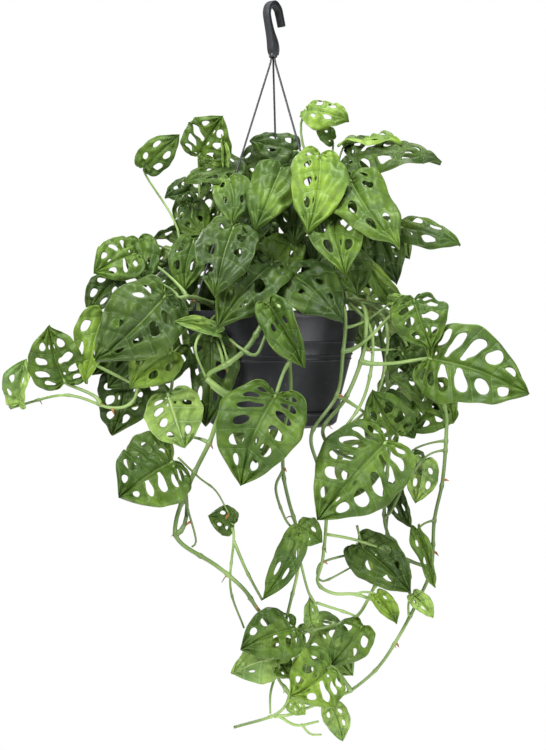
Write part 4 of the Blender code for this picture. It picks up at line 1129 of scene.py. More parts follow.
@painted
def soil_earth(paint):
    """Dark crumbly potting soil."""
    crumbs = paint.cells(scale=190.0)
    cloud = paint.noise(scale=45.0, detail=5.0, roughness=0.65)
    skin = paint.mix(paint.span(cloud, 0.3, 0.7), SOIL_DARK, SOIL_LIGHT)
    skin = paint.mix(paint.span(crumbs, 0.1, 0.45, 0.35, 0.0), skin, SOIL_CRUMB)
    rough = paint.bump(crumbs, strength=0.9, distance=0.002)
    normal = paint.bump(paint.noise(600.0, 4.0), 0.6, 0.0008, rough)
    return paint.wear(skin, 0.95, normal)


@painted
def plain_bits(paint, low, high, roughness):
    """The finish of small loose bits: cloudy between two colours, with a fine grain."""
    cloud = paint.noise(scale=240.0, detail=3.0)
    normal = paint.bump(paint.noise(900.0, 3.0), strength=0.5, distance=0.0006)
    return paint.wear(paint.mix(paint.span(cloud, 0.35, 0.65), low, high), roughness, normal)


def blade_skins(kind, looks):
    """The materials of a blade: upper side, underside and stalk."""
    colours = {GREEN: looks.green, DARK_GREEN: looks.dark, LIME: looks.lime, PALE: looks.pale}
    colour = tuple(colours[kind])
    pale = blended(colour, tuple(looks.pale), 0.6)
    vein = blended(colour, VEIN, 0.45)
    under_vein = blended(pale, UNDER_VEIN, 0.6)
    upper = leaf_skin(f"{kind}_upper", colour, vein, 0.42, 0.4)
    under = leaf_skin(f"{kind}_under", pale, under_vein, 0.75, 0.52)
    return upper, under, stalk_skin("stalk_skin", tuple(looks.stalk))


# Pot, saucer and soil

def wall_radius(height):
    """The pot's outer radius under its rim, in centimetres."""
    share = (RIM_TOP - RIM_HEIGHT - height) / (RIM_TOP - RIM_HEIGHT - POT_FOOT)
    return WALL_TOP_RADIUS + (WALL_FOOT_RADIUS - WALL_TOP_RADIUS) * share


def chain_order(mesh):
    """The vertices of an open chain in order, from the end with the lowest number."""
    neighbours = {vertex.index: [] for vertex in mesh.vertices}
    for edge in mesh.edges:
        first, second = edge.vertices
        neighbours[first].append(second)
        neighbours[second].append(first)
    ends = sorted(index for index, near in neighbours.items() if len(near) == 1)
    found = [ends[0]]
    while len(found) < len(neighbours):
        found.append(next(n for n in neighbours[found[-1]] if n not in found[-2:]))
    return found


def turned(name, profile, surface):
    """A shape turned about the Z axis from a profile of (radius, height) in centimetres."""
    deselect()
    bpy.ops.mesh.primitive_plane_add(size=1)
    obj = bpy.context.object
    obj.name = name
    bpy.ops.object.mode_set(mode="EDIT")
    bpy.ops.mesh.select_mode(type="VERT")
    bpy.ops.mesh.select_all(action="SELECT")
    bpy.ops.mesh.merge(type="CENTER")
    for _point in profile[1:]:
        bpy.ops.mesh.extrude_region_move(TRANSFORM_OT_translate={"value": (0, 0, 0)})
    bpy.ops.object.mode_set(mode="OBJECT")
    places = np.zeros((len(profile), 3))
    places[chain_order(obj.data)] = [(radius * CM, 0, height * CM) for radius, height in profile]
    set_coordinates(obj.data, places)
    apply_modifier(obj, "SCREW", steps=ROUND_STEPS, render_steps=ROUND_STEPS,
                   use_merge_vertices=True, merge_threshold=SCREW_WELD)
    weld(TURNED_WELD)
    obj.data.materials.append(surface)
    return obj


def on_the_way(here, other, corner):
    """The place a corner's length from here towards the other point, but not past its middle."""
    way = np.array(other, float) - here
    return here + unit(way) * min(corner, CORNER_SHARE * np.linalg.norm(way))


def rounded(points, corner):
    """The profile with each corner cut twice, so that it turns softly."""
    found = [points[0]]
    for before, here, after in zip(points, points[1:], points[2:]):
        here = np.array(here, float)
        inwards = unit(np.array(before) - here) + unit(np.array(after) - here)
        found.append(on_the_way(here, before, corner))
        found.append(here + corner * CORNER_CUT * inwards)
        found.append(on_the_way(here, after, corner))
    return [*found, points[-1]]


def make_lug(angle, plastic):
    """The block inside the rim that holds a rod's end."""
    turn = math.radians(angle)
    deselect()
    bpy.ops.mesh.primitive_cube_add(size=1, location=(
        math.sin(turn) * ROD_FOOT_CIRCLE * CM,
        -math.cos(turn) * ROD_FOOT_CIRCLE * CM,
        (RIM_TOP - LUG_SIZE[2] / 2) * CM,
    ), rotation=(0, 0, turn))
    lug = bpy.context.object
    lug.scale = [side * CM for side in LUG_SIZE]
    bpy.ops.object.transform_apply(location=True, rotation=True, scale=True)
    apply_modifier(lug, "BEVEL", width=LUG_BEVEL * CM, segments=3)
    lug.data.materials.append(plastic)
    smooth_under(lug, POT_SMOOTH)
    return lug


def make_pot(sizes):
    """The pot: a tapered wall with ridges, a rolled rim that is hollow underneath, and the lugs."""
    plastic = pot_plastic("pot_plastic", tuple(sizes.pot_colour))
    rim = sizes.rim_radius / CM
    wall = sizes.wall / CM
    shoulder = RIM_TOP - RIM_HEIGHT
    ceiling = RIM_TOP - RIM_HOLLOW
    floor = POT_FOOT + POT_FLOOR
    inner_top = rim - RIM_STEP - wall
    profile = [(0, floor), (wall_radius(floor) - wall, floor), (inner_top, shoulder)]
    profile += [(inner_top, RIM_TOP), (rim, RIM_TOP), (rim, shoulder), (rim - RIM_LIP, shoulder)]
    profile += [(rim - RIM_LIP, ceiling), (WALL_TOP_RADIUS, ceiling), (WALL_TOP_RADIUS, shoulder)]
    for top in RIDGES:
        foot = top - RIDGE_HEIGHT
        profile += [
            (wall_radius(top), top),
            (wall_radius(top) + RIDGE_RISE, top - RIDGE_SLANT),
            (wall_radius(foot) + RIDGE_RISE, foot + RIDGE_SLANT),
            (wall_radius(foot), foot),
        ]
    profile += [(wall_radius(POT_FOOT), POT_FOOT), (0, POT_FOOT)]
    pot = turned("hanging_pot", rounded(profile, POT_CORNER), plastic)
    smooth_under(pot, POT_SMOOTH)
    lugs = [make_lug(angle, plastic) for angle in ROD_ANGLES]
    finish(join([pot, *lugs], "hanging_pot"), ["pot"])


def make_saucer(sizes):
    """The saucer: a cup around the pot's foot, with a lip outside and a ring to stand on."""
    plastic = pot_plastic("saucer_plastic", scaled(tuple(sizes.pot_colour), SAUCER_SHADE))
    top = wall_radius(SAUCER_TOP) + GAP
    foot = wall_radius(POT_FOOT) + GAP
    floor = POT_FOOT - GAP
    lip = top + SAUCER_WALL + SAUCER_LIP_RISE
    lip_foot = SAUCER_TOP - SAUCER_LIP_HEIGHT
    ring = foot - SAUCER_RING
    hollow = SAUCER_FOOT + SAUCER_HOLLOW
    chamfer_in, chamfer_up = SAUCER_CHAMFER
    profile = [(0, floor), (foot, floor), (top, SAUCER_TOP - POT_CORNER)]
    profile += [(top + SAUCER_LIP_RISE / 2, SAUCER_TOP), (lip, SAUCER_TOP), (lip, lip_foot)]
    profile += [(top + SAUCER_WALL, lip_foot - RIDGE_SLANT)]
    profile += [(foot + SAUCER_WALL + SAUCER_FLARE, SAUCER_FOOT + chamfer_up)]
    profile += [(foot - chamfer_in, SAUCER_FOOT), (ring, SAUCER_FOOT)]
    profile += [(ring - chamfer_in, hollow), (0, hollow)]
    saucer = turned("pot_saucer", rounded(profile, POT_CORNER), plastic)
    smooth_under(saucer, POT_SMOOTH)
    finish(saucer, ["saucer"])


def heap_height(x, y):
    """How high the soil is heaped at a place: two broad waves and two fine ones, in centimetres."""
    heap = 0.28 * np.sin(x * 1.7 + 1) * np.cos(y * 1.3) + 0.16 * np.sin(x * 4.1 + y * 3.3)
    heap += 0.09 * np.sin(x * 9.7 - y * 7.1) + 0.07 * np.cos(y * 12.3 + x * 2.2)
    return heap + SOIL_HEAP


def scatter(kind, number, radius, chance):
    """Bits of one kind that lie on the soil, joined into one object."""
    name, low, high, roughness, share, size = kind
    spots = []
    for _count in range(int(number * share)):
        out = radius * math.sqrt(chance.random()) * BITS_REACH
        spots.append((out, chance.uniform(0, 2 * math.pi), size * chance.uniform(0.5, 1.1)))
    deselect()
    bpy.ops.mesh.primitive_ico_sphere_add(subdivisions=1, radius=0.5)
    bit = bpy.context.object
    bit.data.materials.append(plain_bits(name, low, high, roughness))
    one = coordinates(bit.data)
    copies = [bit]
    for _spot in spots[1:]:
        copy = bit.copy()
        copy.data = bit.data.copy()
        bpy.context.collection.objects.link(copy)
        copies.append(copy)
    for copy, (out, angle, width) in zip(copies, spots):
        squeeze = np.array([chance.uniform(*limits) for limits in BIT_SQUEEZE])
        spin = chance.uniform(0, math.pi)
        shape = one * squeeze * width * (1 + BIT_DENTS * np.sin(one * 31 + spin))
        cosine, sine = math.cos(spin), math.sin(spin)
        turn = np.array([[cosine, -sine, 0], [sine, cosine, 0], [0, 0, 1]])
        middle = np.array((out * math.cos(angle), out * math.sin(angle), SOIL_TOP + BITS_RISE))
        set_coordinates(copy.data, (shape @ turn + middle) * CM)
    return join(copies, name)


def make_soil(sizes):
    """The soil: a heap with crumbs on it, with bark chips and white grains lying on top."""
    chance = random.Random(SOIL_SEED)
    wall = sizes.wall / CM
    inner = wall_radius(SOIL_TOP) - wall - 2 * GAP
    floor = POT_FOOT + POT_FLOOR
    foot = wall_radius(floor) - wall - GAP
    profile = [(inner * step / SOIL_RINGS, SOIL_TOP) for step in range(SOIL_RINGS + 1)]
    profile += [(foot, floor + GAP), (0, floor + GAP)]
    soil = turned("soil_surface", profile, soil_earth("potting_soil"))
    places = coordinates(soil.data)
    x, y, z = places.T / CM
    on_top = (z > SOIL_TOP - GAP) & (np.hypot(x, y) < inner * SOIL_EDGE)
    places[on_top, 2] += heap_height(x, y)[on_top] * CM
    set_coordinates(soil.data, places)
    smooth_under(soil, SOIL_SMOOTH)
    bits = [scatter(kind, sizes.soil_bits, inner, chance) for kind in SOIL_KINDS]
    finish(join([soil, *bits], "soil_surface"), ["soil"])


# Hanger

def hook_outline():
    """The two long sides of the hook's outline, in its own plane."""
    line = smooth_line(HOOK_LINE, HOOK_SAMPLES)
    left, right = [], []
    for index, point in enumerate(line):
        before = line[max(index - 1, 0)]
        after = line[min(index + 1, len(line) - 1)]
        way = unit((after - before)[:2])
        side = np.array((-way[1], way[0]))
        left.append(point[:2] + side * point[2])
        right.append(point[:2] - side * point[2])
    return left, right


def select_broad_side(hook, side):
    """Selects the faces of the hook's front or back, which is the broad side that faces this way."""
    for face in hook.data.polygons:
        at_side = abs(face.center.y) > 0.49 * HOOK_THICKNESS * CM
        face.select = at_side and face.normal.y * side > 0.9


def make_hook(sizes):
    """The hook: a bar bent in one plane, with a lip along both edges of its broad sides."""
    plastic = pot_plastic("hook_plastic", tuple(sizes.hook_colour))
    left, right = hook_outline()
    deselect()
    bpy.ops.mesh.primitive_grid_add(x_subdivisions=len(left) - 1, y_subdivisions=1, size=1)
    hook = bpy.context.object
    places = coordinates(hook.data)
    for index, (across, up, _level) in enumerate(places):
        step = round((across + 0.5) * (len(left) - 1))
        side = (left if up > 0 else right)[step]
        places[index] = (side[0], HOOK_THICKNESS / 2, side[1])
    set_coordinates(hook.data, places * CM)
    bpy.ops.object.mode_set(mode="EDIT")
    bpy.ops.mesh.select_all(action="SELECT")
    bpy.ops.mesh.extrude_region_move(
        TRANSFORM_OT_translate={"value": (0, -HOOK_THICKNESS * CM, 0)})
    bpy.ops.mesh.select_all(action="SELECT")
    bpy.ops.mesh.normals_make_consistent(inside=False)
    bpy.ops.mesh.select_all(action="DESELECT")
    bpy.ops.mesh.select_mode(type="FACE")
    bpy.ops.object.mode_set(mode="OBJECT")
    for side in (-1, 1):
        select_broad_side(hook, side)
        bpy.ops.object.mode_set(mode="EDIT")
        bpy.ops.mesh.inset(thickness=HOOK_LIP * CM, depth=0)
        bpy.ops.mesh.inset(thickness=HOOK_DRAFT * CM, depth=-HOOK_GROOVE * CM)
        bpy.ops.mesh.select_all(action="DESELECT")
        bpy.ops.object.mode_set(mode="OBJECT")
    apply_modifier(hook, "BEVEL", width=HOOK_BEVEL * CM, segments=2,
                   limit_method="ANGLE", angle_limit=math.radians(HOOK_BEVEL_ANGLE))
    hook.rotation_euler.z = math.radians(HOOK_TURN)
    make_active(hook)
    bpy.ops.object.transform_apply(location=False, rotation=True, scale=False)
    hook.data.materials.append(plastic)
    smooth_under(hook, HOOK_SMOOTH)
    neck_top = COLLAR_TOP + COLLAR_NECK_HEIGHT
    neck_radius, neck_foot_radius = COLLAR_NECK
    profile = [(0, neck_top), (neck_radius, neck_top), (neck_foot_radius, COLLAR_TOP)]
    profile += [(COLLAR_RADIUS, COLLAR_TOP), (COLLAR_RADIUS, COLLAR_FOOT), (0, COLLAR_FOOT)]
    collar = turned("hook_collar", rounded(profile, COLLAR_CORNER), plastic)
    smooth_under(collar, HOOK_SMOOTH)
    finish(join([hook, collar], "pot_hook"), ["hanger_hook"])


def make_rods(sizes):
    """The three rods, each with a short upright end in the collar and a thick end in its lug."""
    plastic = pot_plastic("rod_plastic", tuple(sizes.hook_colour))
    drop = np.array((0, 0, ROD_STUB))
    for number, angle in enumerate(ROD_ANGLES, 1):
        turn = math.radians(angle)
        out = np.array((math.sin(turn), -math.cos(turn), 0))
        head = out * ROD_TOP_CIRCLE + np.array((0, 0, COLLAR_FOOT + ROD_INSIDE))
        foot = out * ROD_FOOT_CIRCLE + np.array((0, 0, RIM_TOP - ROD_INSIDE))
        bend = (foot - head) * ROD_BEND
        line = [head, head - drop * ROD_UPRIGHT, head - drop + bend]
        line += [foot + drop - bend, foot + drop * ROD_UPRIGHT, foot]
        radii = [ROD_RADIUS * CM] * (len(line) - 2) + [ROD_RADIUS * ROD_THICK_END * CM] * 2
        rod = tube(f"hanger_rod_{number}_round", [point * CM for point in line], radii, plastic)
        finish(rod, [f"hanger_rod_{number}"])


# Stems

def line_at(line, lengths, places):
    """The points on the line this far along it."""
    return np.stack([np.interp(places, lengths, axis) for axis in np.array(line).T], axis=-1)


def node_places(stem, line, looks):
    """How far along its line each point of the stem is, and where it has nodes.

    A node is where a stalk leaves the stem, and more nodes divide a long bare stretch.
    """
    pieces = [np.linalg.norm(end - start) for start, end in zip(line, line[1:])]
    lengths = np.concatenate(([0], np.cumsum(pieces)))
    shift = 1 if stem.foot else 0
    found = []
    for leaf in (*LEAVES, *MORE_LEAVES):
        if leaf.stem == stem.name:
            place = min(leaf.node * STEM_SAMPLES + shift, len(line) - 1)
            found.append(float(np.interp(place, range(len(line)), lengths)))
    filled = []
    last = FIRST_NODE
    for place in sorted([*found, lengths[-1]]):
        count = int((place - last) / looks.spacing)
        filled += [last + (place - last) * step / (count + 1) for step in range(1, count + 1)]
        filled.append(place)
        last = place
    return lengths, filled[:-1]


def root_stub(start, looks, chance):
    """A short brown root that leaves the stem at this place and bends down."""
    way = unit(np.array([chance.uniform(*limits) for limits in ROOT_WAY]))
    reach = looks.root_length * chance.uniform(0.6, 1.5)
    bend = np.array((0, 0, -reach * ROOT_BEND))
    stub = [start, start + way * reach * 0.5, start + way * reach + bend]
    return tube("root_stub", stub, ROOT_RADII, root_skin("root_skin"))


def make_stem(stem, looks, node_names):
    """A stem that swells at its nodes, with brown root stubs at some of them."""
    chance = random.Random(stem.name)
    line = stem_line(stem)
    lengths, nodes = node_places(stem, line, looks)
    count = max(int(lengths[-1] / STEM_STEP), FEWEST_STEM_STEPS)
    even = np.linspace(0, lengths[-1], count)
    extra = [place + shift for place in nodes for shift in (-NODE_EDGE, 0, NODE_EDGE)]
    places = np.unique(np.clip(np.concatenate((even, extra)), 0, lengths[-1]))
    swell = np.zeros(len(places))
    for node in nodes:
        swell += np.exp(-(((places - node) / NODE_LENGTH) ** 2))
    taper = STEM_TAPER[0] - STEM_TAPER[1] * places / lengths[-1]
    radii = stem.radius * CM * taper * (1 + looks.swell * np.minimum(swell, 1))
    skin = stalk_skin("stem_skin", tuple(looks.colour))
    pieces = [tube(stem.name, line_at(line, lengths, places), radii, skin)]
    if stem.foot:
        for node in nodes:
            if node >= ROOTS_FROM and chance.random() >= ROOTLESS_SHARE:
                pieces.append(root_stub(line_at(line, lengths, node), looks, chance))
    finish(join(pieces, f"{stem.name}_round"), node_names)


def make_dry_bits():
    """Small dry bracts, each a short bent cone that starts on the nearest stem."""
    bark = plain_bits("dry_bract", BRACT_DARK, BRACT_LIGHT, 0.8)
    on_stems = np.concatenate([stem_line(stem) for stem in STEM_OF.values()])
    pieces = []
    for near_stem, outer in DRY_BITS:
        near_stem = world(near_stem)
        start = on_stems[np.argmin(np.linalg.norm(on_stems - near_stem, axis=1))]
        end = start + (world(outer) - near_stem) * BRACT_SHARE
        middle = (start + end) / 2 + np.array((0, 0, BRACT_BEND))
        pieces.append(tube("bract", [start, middle, end], BRACT_RADII, bark))
    finish(join(pieces, "dry_bracts"), [])


# Leaves

def blade_relief(leaf, shares, sides, along, edge_across, strips, looks, chance):
    """How far the blade rises at each point: quilted between its veins, waved and puckered."""
    reach = np.abs(sides)
    size = min(leaf.width / USUAL_WIDTH, LARGEST_RELIEF)
    quilt = np.sin(np.pi * (shares * strips % 1)) ** 0.7 * np.sin(np.pi * reach) ** 0.5
    phase = np.where(sides < 0, chance.uniform(0, 6), chance.uniform(0, 6))
    turns = chance.uniform(*WAVE_TURNS)
    wave = np.sin(2 * np.pi * shares * turns + phase) * reach**2 * edge_across
    groove = np.exp(-((reach / GROOVE_WIDTH) ** 2))
    pucker = np.sin(along * 23 + phase) * np.sin(reach * 9 + shares * 6)
    pucker += np.sin(along * 9 + reach * 13 + phase)
    pucker *= np.clip(reach / PUCKER_START, 0, 1)
    swell = quilt - GROOVE_DEPTH * groove + PUCKER_SHARE * pucker
    return size * (looks.relief * swell + looks.wave * wave)


def blade_points(leaf, shares, sides, strips, looks, chance):
    """The blade's points in metres: shares run from the notch to the tip, sides from -1 to 1."""
    base, along, across, upper, length = blade_frame(leaf)
    half = leaf.width / 2 * CM
    reach = np.abs(sides)
    line = np.array(smooth_line(BLADE_EDGE, EDGE_SAMPLES))
    steps = np.linspace(0, 1, len(line))
    edge_along, edge_across, midrib = (np.interp(shares, steps, column) for column in line.T)
    ripple = chance.uniform(0, 6) + np.where(sides < 0, 0, 2)
    ripples = sum(size * np.sin(shares * turns + ripple) for size, turns in EDGE_RIPPLES)
    edge_across = np.maximum(edge_across, 0) * (1 + ripples)
    t = midrib * (1 - reach) + edge_along * reach
    q = edge_across * reach * half
    arch = math.radians(leaf.arch)
    radius = length / (2 * math.sin(arch / 2))
    angle = arch * (t - 0.5)
    forward = length / 2 + radius * np.sin(angle)
    height = radius * (np.cos(angle) - math.cos(arch / 2))
    raised = np.cos(angle)[:, None] * upper + np.sin(angle)[:, None] * along
    twist = chance.uniform(-TWIST, TWIST) * (t - TWIST_MIDDLE)
    sweep = chance.uniform(-1, 1) * SWEEP * length * np.sin(np.pi * np.clip(t, 0, 1))
    lift = blade_relief(leaf, shares, sides, t, edge_across, strips, looks, chance)
    droop = chance.uniform(*DROOP) * (q / half) ** 2 * half
    fold = math.radians(leaf.fold)
    rise = q * math.sin(fold) + lift - droop
    out = np.sign(sides) * q * math.cos(fold)
    places = base + forward[:, None] * along + height[:, None] * upper
    places += (out * np.cos(twist) - rise * np.sin(twist) + sweep)[:, None] * across
    return places + (rise * np.cos(twist) + out * np.sin(twist))[:, None] * raised


def for_holes(limits, leaf):
    """A measure of the leaf's holes, from its value at no holes and what is added at 1."""
    least, more = limits
    return least + more * leaf.holes


def hole_list(leaf, strips, chance):
    """The blade's holes: (strip, side, middle of its reach, half reach, half of its strip share)."""
    found = []
    broad = leaf.width > BROAD_LEAF
    for side in (-1, 1):
        for strip in range(2, strips - 1):
            if chance.random() > leaf.holes + SURE_HOLES:
                continue
            if chance.random() < SLOT_CHANCE * leaf.holes and broad:
                found.append((strip, side, *OPEN_SLOT))
                continue
            small = END_HOLE if strip in (2, strips - 2) else 1.0
            half_reach = for_holes(HOLE_REACH, leaf) * chance.uniform(0.75, 1.1) * small
            middle = for_holes(HOLE_MIDDLE, leaf) + chance.uniform(-0.05, 0.05)
            half_strip = for_holes(HOLE_STRIP, leaf) * chance.uniform(0.8, 1.1)
            found.append((strip, side, middle, half_reach, half_strip))
            if chance.random() < INNER_CHANCE * leaf.holes and broad:
                found.append((strip, side, *INNER_HOLE))
    return found


def from_hole(strip_place, side_place, hole):
    """Where a place of the chart is as seen from the hole's middle. Its edge is at distance 1."""
    strip, side, middle, half_reach, half_strip = hole
    return (strip_place - strip - 0.5) / half_strip, (side_place * side - middle) / half_reach


def cut_holes(obj, holes, strips):
    """Deletes the faces inside the holes and draws the cut edges onto smooth ovals."""
    mesh = obj.data
    places = coordinates(mesh)
    doomed = {}
    for hole in holes:
        for face in mesh.polygons:
            x, y = (face.center.x + 0.5) * strips, face.center.y * 2
            across, out = from_hole(x, y, hole)
            if across**2 + out**2 < 1.0:
                doomed[face.index] = hole
    inside, outside = {}, set()
    for face in mesh.polygons:
        if face.index in doomed:
            inside.update(dict.fromkeys(face.vertices, doomed[face.index]))
        else:
            outside.update(face.vertices)
    for vertex, hole in inside.items():
        if vertex in outside:
            strip, side, middle, half_reach, half_strip = hole
            x, y = (places[vertex, 0] + 0.5) * strips, places[vertex, 1] * 2
            across, out = from_hole(x, y, hole)
            pull = 1 / max(math.hypot(across, out), HOLE_CORE)
            places[vertex, 0] = (strip + 0.5 + across * pull * half_strip) / strips - 0.5
            places[vertex, 1] = side * (middle + out * pull * half_reach) / 2
    set_coordinates(mesh, places)
    make_active(obj)
    bpy.ops.object.mode_set(mode="EDIT")
    bpy.ops.mesh.select_mode(type="FACE")
    bpy.ops.mesh.select_all(action="DESELECT")
    bpy.ops.object.mode_set(mode="OBJECT")
    for face in mesh.polygons:
        face.select = face.index in doomed
    bpy.ops.object.mode_set(mode="EDIT")
    bpy.ops.mesh.delete(type="FACE")
    bpy.ops.object.mode_set(mode="OBJECT")


def set_chart(mesh, chart):
    """Gives the mesh one UV map, with this place of the chart at each vertex."""
    while mesh.uv_layers:
        mesh.uv_layers.remove(mesh.uv_layers[0])
    uv_map = mesh.uv_layers.new(name=LEAF_MAP)
    corners = np.empty(len(mesh.loops), dtype=int)
    mesh.loops.foreach_get("vertex_index", corners)
    uv_map.data.foreach_set("uv", chart[corners].ravel())


def face_upwards(mesh, upper):
    """Turns the faces of the active mesh over if they look away from its upper side."""
    normals = sum((np.array(face.normal) * face.area for face in mesh.polygons), np.zeros(3))
    if normals.dot(upper) < 0:
        bpy.ops.object.mode_set(mode="EDIT")
        bpy.ops.mesh.select_all(action="SELECT")
        bpy.ops.mesh.flip_normals()
        bpy.ops.object.mode_set(mode="OBJECT")


def make_blade(leaf, looks):
    """The blade: a flat chart with holes, subdivided, then laid on the leaf's bent form."""
    chance = random.Random(leaf.name)
    fewest, most = STRIPS
    strips = max(fewest, min(most, round(leaf.width * CM / looks.strip_width)))
    rows = BROAD_ROWS if leaf.width > BROAD_LEAF else NARROW_ROWS
    deselect()
    bpy.ops.mesh.primitive_grid_add(
        x_subdivisions=strips * CELLS_IN_STRIP, y_subdivisions=rows * 2, size=1)
    blade = bpy.context.object
    blade.name = leaf.name
    cut_holes(blade, hole_list(leaf, strips, chance), strips)
    apply_modifier(blade, "SUBSURF", levels=1, render_levels=1, boundary_smooth="PRESERVE_CORNERS")
    mesh = blade.data
    flat = coordinates(mesh)
    shares = np.clip(flat[:, 0] + 0.5, 0, 1)
    sides = np.clip(flat[:, 1] * 2, -1, 1)
    set_chart(mesh, np.stack((shares * strips, sides), axis=1))
    set_coordinates(mesh, blade_points(leaf, shares, sides, strips, looks, chance))
    weld(BLADE_WELD, outwards=False)
    face_upwards(mesh, blade_frame(leaf)[3])
    for skin in blade_skins(leaf.colour, looks):
        mesh.materials.append(skin)
    apply_modifier(blade, "SOLIDIFY", thickness=looks.thickness, offset=0, material_offset=1)
    bpy.ops.object.shade_smooth()
    return blade


def make_leaf(leaf, looks, node_names):
    """A blade on its stalk. The stalk is wider at its foot, where it wraps the stem."""
    blade = make_blade(leaf, looks)
    points = stalk_points(leaf, STEM_OF[leaf.stem])
    thinnest, thickest = STALK_LIMITS
    middle = looks.stalk_radius * min(max(leaf.width / USUAL_WIDTH, thinnest), thickest)
    shares = np.linspace(0, 1, len(points))
    radii = np.ones(len(points))
    for place, width, swell in STALK_SWELLS:
        radii += swell * np.exp(-(((shares - place) / width) ** 2))
    radii *= middle
    radii[-1] *= STALK_TIP
    stalk = tube("stalk", points, radii, blade.data.materials[2])
    finish(join([blade, stalk], f"{leaf.name}_grown"), node_names)


# Stage

def make_floor(height):
    """The round pale floor at this height, which glows a little so that it stays white."""
    deselect()
    bpy.ops.mesh.primitive_circle_add(
        vertices=ROUND_STEPS, radius=FLOOR_RADIUS, fill_type="NGON", location=(0, 0, height))
    floor = bpy.context.object
    floor.name = "floor"
    paint = Paint("floor_white")
    paint.wear(FLOOR_COLOUR, 0.9)
    paint.shader.inputs["Emission Color"].default_value = WHITE
    paint.shader.inputs["Emission Strength"].default_value = FLOOR_GLOW
    floor.data.materials.append(paint.material)
    floor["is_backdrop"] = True


def make_light(name, place, power, size, aim):
    """A round area light of this size, which shines from its place towards its aim."""
    deselect()
    bpy.ops.object.light_add(type="AREA", location=place)
    light = bpy.context.object
    light.name = name
    light.data.energy = power
    light.data.shape = "DISK"
    light.data.size = size
    x, y, z = np.array(aim) - np.array(place)
    light.rotation_euler = (math.atan2(math.hypot(x, y), -z), 0, math.atan2(y, x) - math.pi / 2)
    light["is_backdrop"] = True


def make_room(brightness):
    """A world that lights with this brightness, and that the camera sees as plain white."""
    room = bpy.data.worlds.new("white_room")
    room.use_nodes = True
    nodes = room.node_tree.nodes
    link = room.node_tree.links.new
    lighting = nodes["Background"]
    lighting.inputs["Color"].default_value = WHITE
    lighting.inputs["Strength"].default_value = brightness
    backdrop = nodes.new("ShaderNodeBackground")
    backdrop.inputs["Color"].default_value = WHITE
    backdrop.inputs["Strength"].default_value = 1.0
    either = nodes.new("ShaderNodeMixShader")
    path = nodes.new("ShaderNodeLightPath")
    link(path.outputs["Is Camera Ray"], either.inputs["Fac"])
    link(lighting.outputs[0], either.inputs[1])
    link(backdrop.outputs[0], either.inputs[2])
    link(either.outputs[0], nodes["World Output"].inputs["Surface"])
    bpy.context.scene.world = room


def make_camera():
    """The camera, at the photograph's viewing angle."""
    deselect()
    bpy.ops.object.camera_add(
        location=(0, -VIEW_DISTANCE * CM, VIEW_HEIGHT * CM),
        rotation=(math.radians(90 - CAMERA_TILT), 0, 0),
    )
    camera = bpy.context.object
    camera.name = "photo_camera"
    camera.data.lens = CAMERA_LENS
    camera.data.sensor_width = CAMERA_SENSOR
    camera.data.sensor_fit = "AUTO"
    bpy.context.scene.camera = camera


def make_stage(looks):
    """The floor under the plant, the lights, the room and the camera."""
    low, _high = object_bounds()
    make_floor(low[2] - looks.floor_drop)
    for name, setting, place, size, aim in LIGHTS:
        make_light(name, place, getattr(looks, setting), size, aim)
    make_room(looks.room)
    bpy.context.scene.view_settings.view_transform = "Standard"
    make_camera()


# Operators

class POT_OT_pot(bpy.types.Operator):
    """Builds the pot with its rolled rim, ridges and lugs, and the saucer under it"""

    bl_idname = "monstera.pot"
    bl_label = "Pot and saucer"

    def execute(self, context):
        make_pot(context.scene.pot_sizes)
        make_saucer(context.scene.pot_sizes)
        return {"FINISHED"}


class POT_OT_soil(bpy.types.Operator):
    """Builds the soil with crumbs, bark chips and white grains"""

    bl_idname = "monstera.soil"
    bl_label = "Soil"

    def execute(self, context):
        make_soil(context.scene.pot_sizes)
        return {"FINISHED"}


class POT_OT_hanger(bpy.types.Operator):
    """Builds the hook with its collar, and the three rods"""

    bl_idname = "monstera.hanger"
    bl_label = "Hook and rods"

    def execute(self, context):
        make_hook(context.scene.pot_sizes)
        make_rods(context.scene.pot_sizes)
        return {"FINISHED"}


class PLANT_OT_stems(bpy.types.Operator):
    """Builds the main stems and the thin side stems, with their nodes, root stubs and dry bracts"""

    bl_idname = "monstera.stems"
    bl_label = "Stems"

    def execute(self, context):
        for stem in STEMS:
            make_stem(stem, context.scene.stem_looks, [stem.name])
        for stem in THIN_STEMS:
            make_stem(stem, context.scene.stem_looks, [])
        make_dry_bits()
        return {"FINISHED"}


class PLANT_OT_leaves(bpy.types.Operator):
    """Builds the leaves that stand for the solid ones, with holes, veins and stalks"""

    bl_idname = "monstera.leaves"
    bl_label = "Leaves"

    def execute(self, context):
        for leaf in LEAVES:
            make_leaf(leaf, context.scene.leaf_looks, [leaf.name])
        return {"FINISHED"}


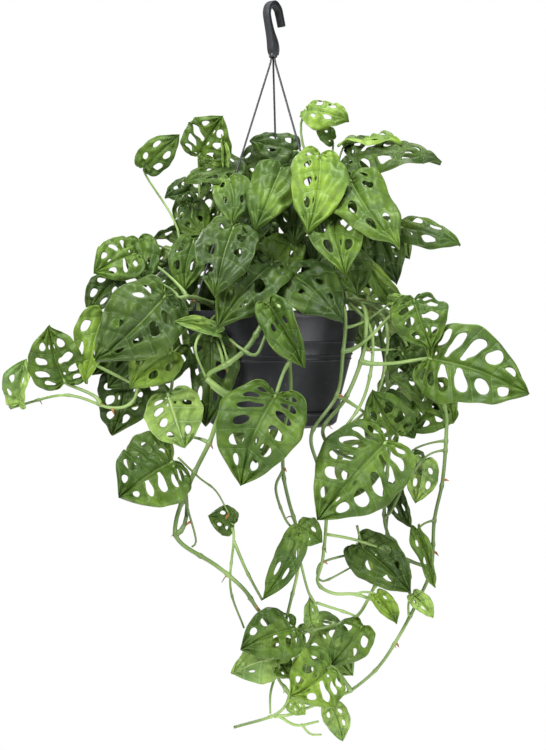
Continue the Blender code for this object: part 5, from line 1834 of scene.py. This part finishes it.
class PLANT_OT_more_leaves(bpy.types.Operator):
    """Builds the leaves between, behind and at the sides of the others"""

    bl_idname = "monstera.more_leaves"
    bl_label = "More leaves"

    def execute(self, context):
        for leaf in MORE_LEAVES:
            make_leaf(leaf, context.scene.leaf_looks, [])
        return {"FINISHED"}


class STAGE_OT_stage(bpy.types.Operator):
    """Sets the floor, the lights and the camera"""

    bl_idname = "monstera.stage"
    bl_label = "Floor, lights and camera"

    def execute(self, context):
        make_stage(context.scene.stage_looks)
        return {"FINISHED"}


class VIEW3D_PT_monstera(bpy.types.Panel):
    """Lists the steps that build the plant"""

    bl_label = "Monstera adansonii"
    bl_space_type = "VIEW_3D"
    bl_region_type = "UI"
    bl_category = "Monstera"

    def draw(self, context):
        for step in STEPS:
            self.layout.operator(step.bl_idname)
        for name, group in GROUPS.items():
            box = self.layout.box()
            for setting in group.__annotations__:
                box.prop(getattr(context.scene, name), setting)


GROUPS = {
    "pot_sizes": PotSizes,
    "leaf_looks": LeafLooks,
    "stem_looks": StemLooks,
    "stage_looks": StageLooks,
}
STEPS = (
    POT_OT_pot,
    POT_OT_soil,
    POT_OT_hanger,
    PLANT_OT_stems,
    PLANT_OT_leaves,
    PLANT_OT_more_leaves,
    STAGE_OT_stage,
)


def register():
    """Registers the classes and hangs their settings on the scene."""
    for kind in (*GROUPS.values(), *STEPS, VIEW3D_PT_monstera):
        bpy.utils.register_class(kind)
    for name, group in GROUPS.items():
        setattr(bpy.types.Scene, name, PointerProperty(type=group))


def unregister():
    """Takes the settings off the scene and removes the classes."""
    for name in GROUPS:
        delattr(bpy.types.Scene, name)
    for kind in (VIEW3D_PT_monstera, *reversed(STEPS), *GROUPS.values()):
        bpy.utils.unregister_class(kind)


def main():
    """Builds the whole model."""
    register()
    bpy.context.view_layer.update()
    bpy.ops.monstera.pot()
    bpy.ops.monstera.soil()
    bpy.ops.monstera.hanger()
    bpy.ops.monstera.stems()
    bpy.ops.monstera.leaves()
    bpy.ops.monstera.more_leaves()
    bpy.ops.monstera.stage()


if __name__ == "__main__":
    main()
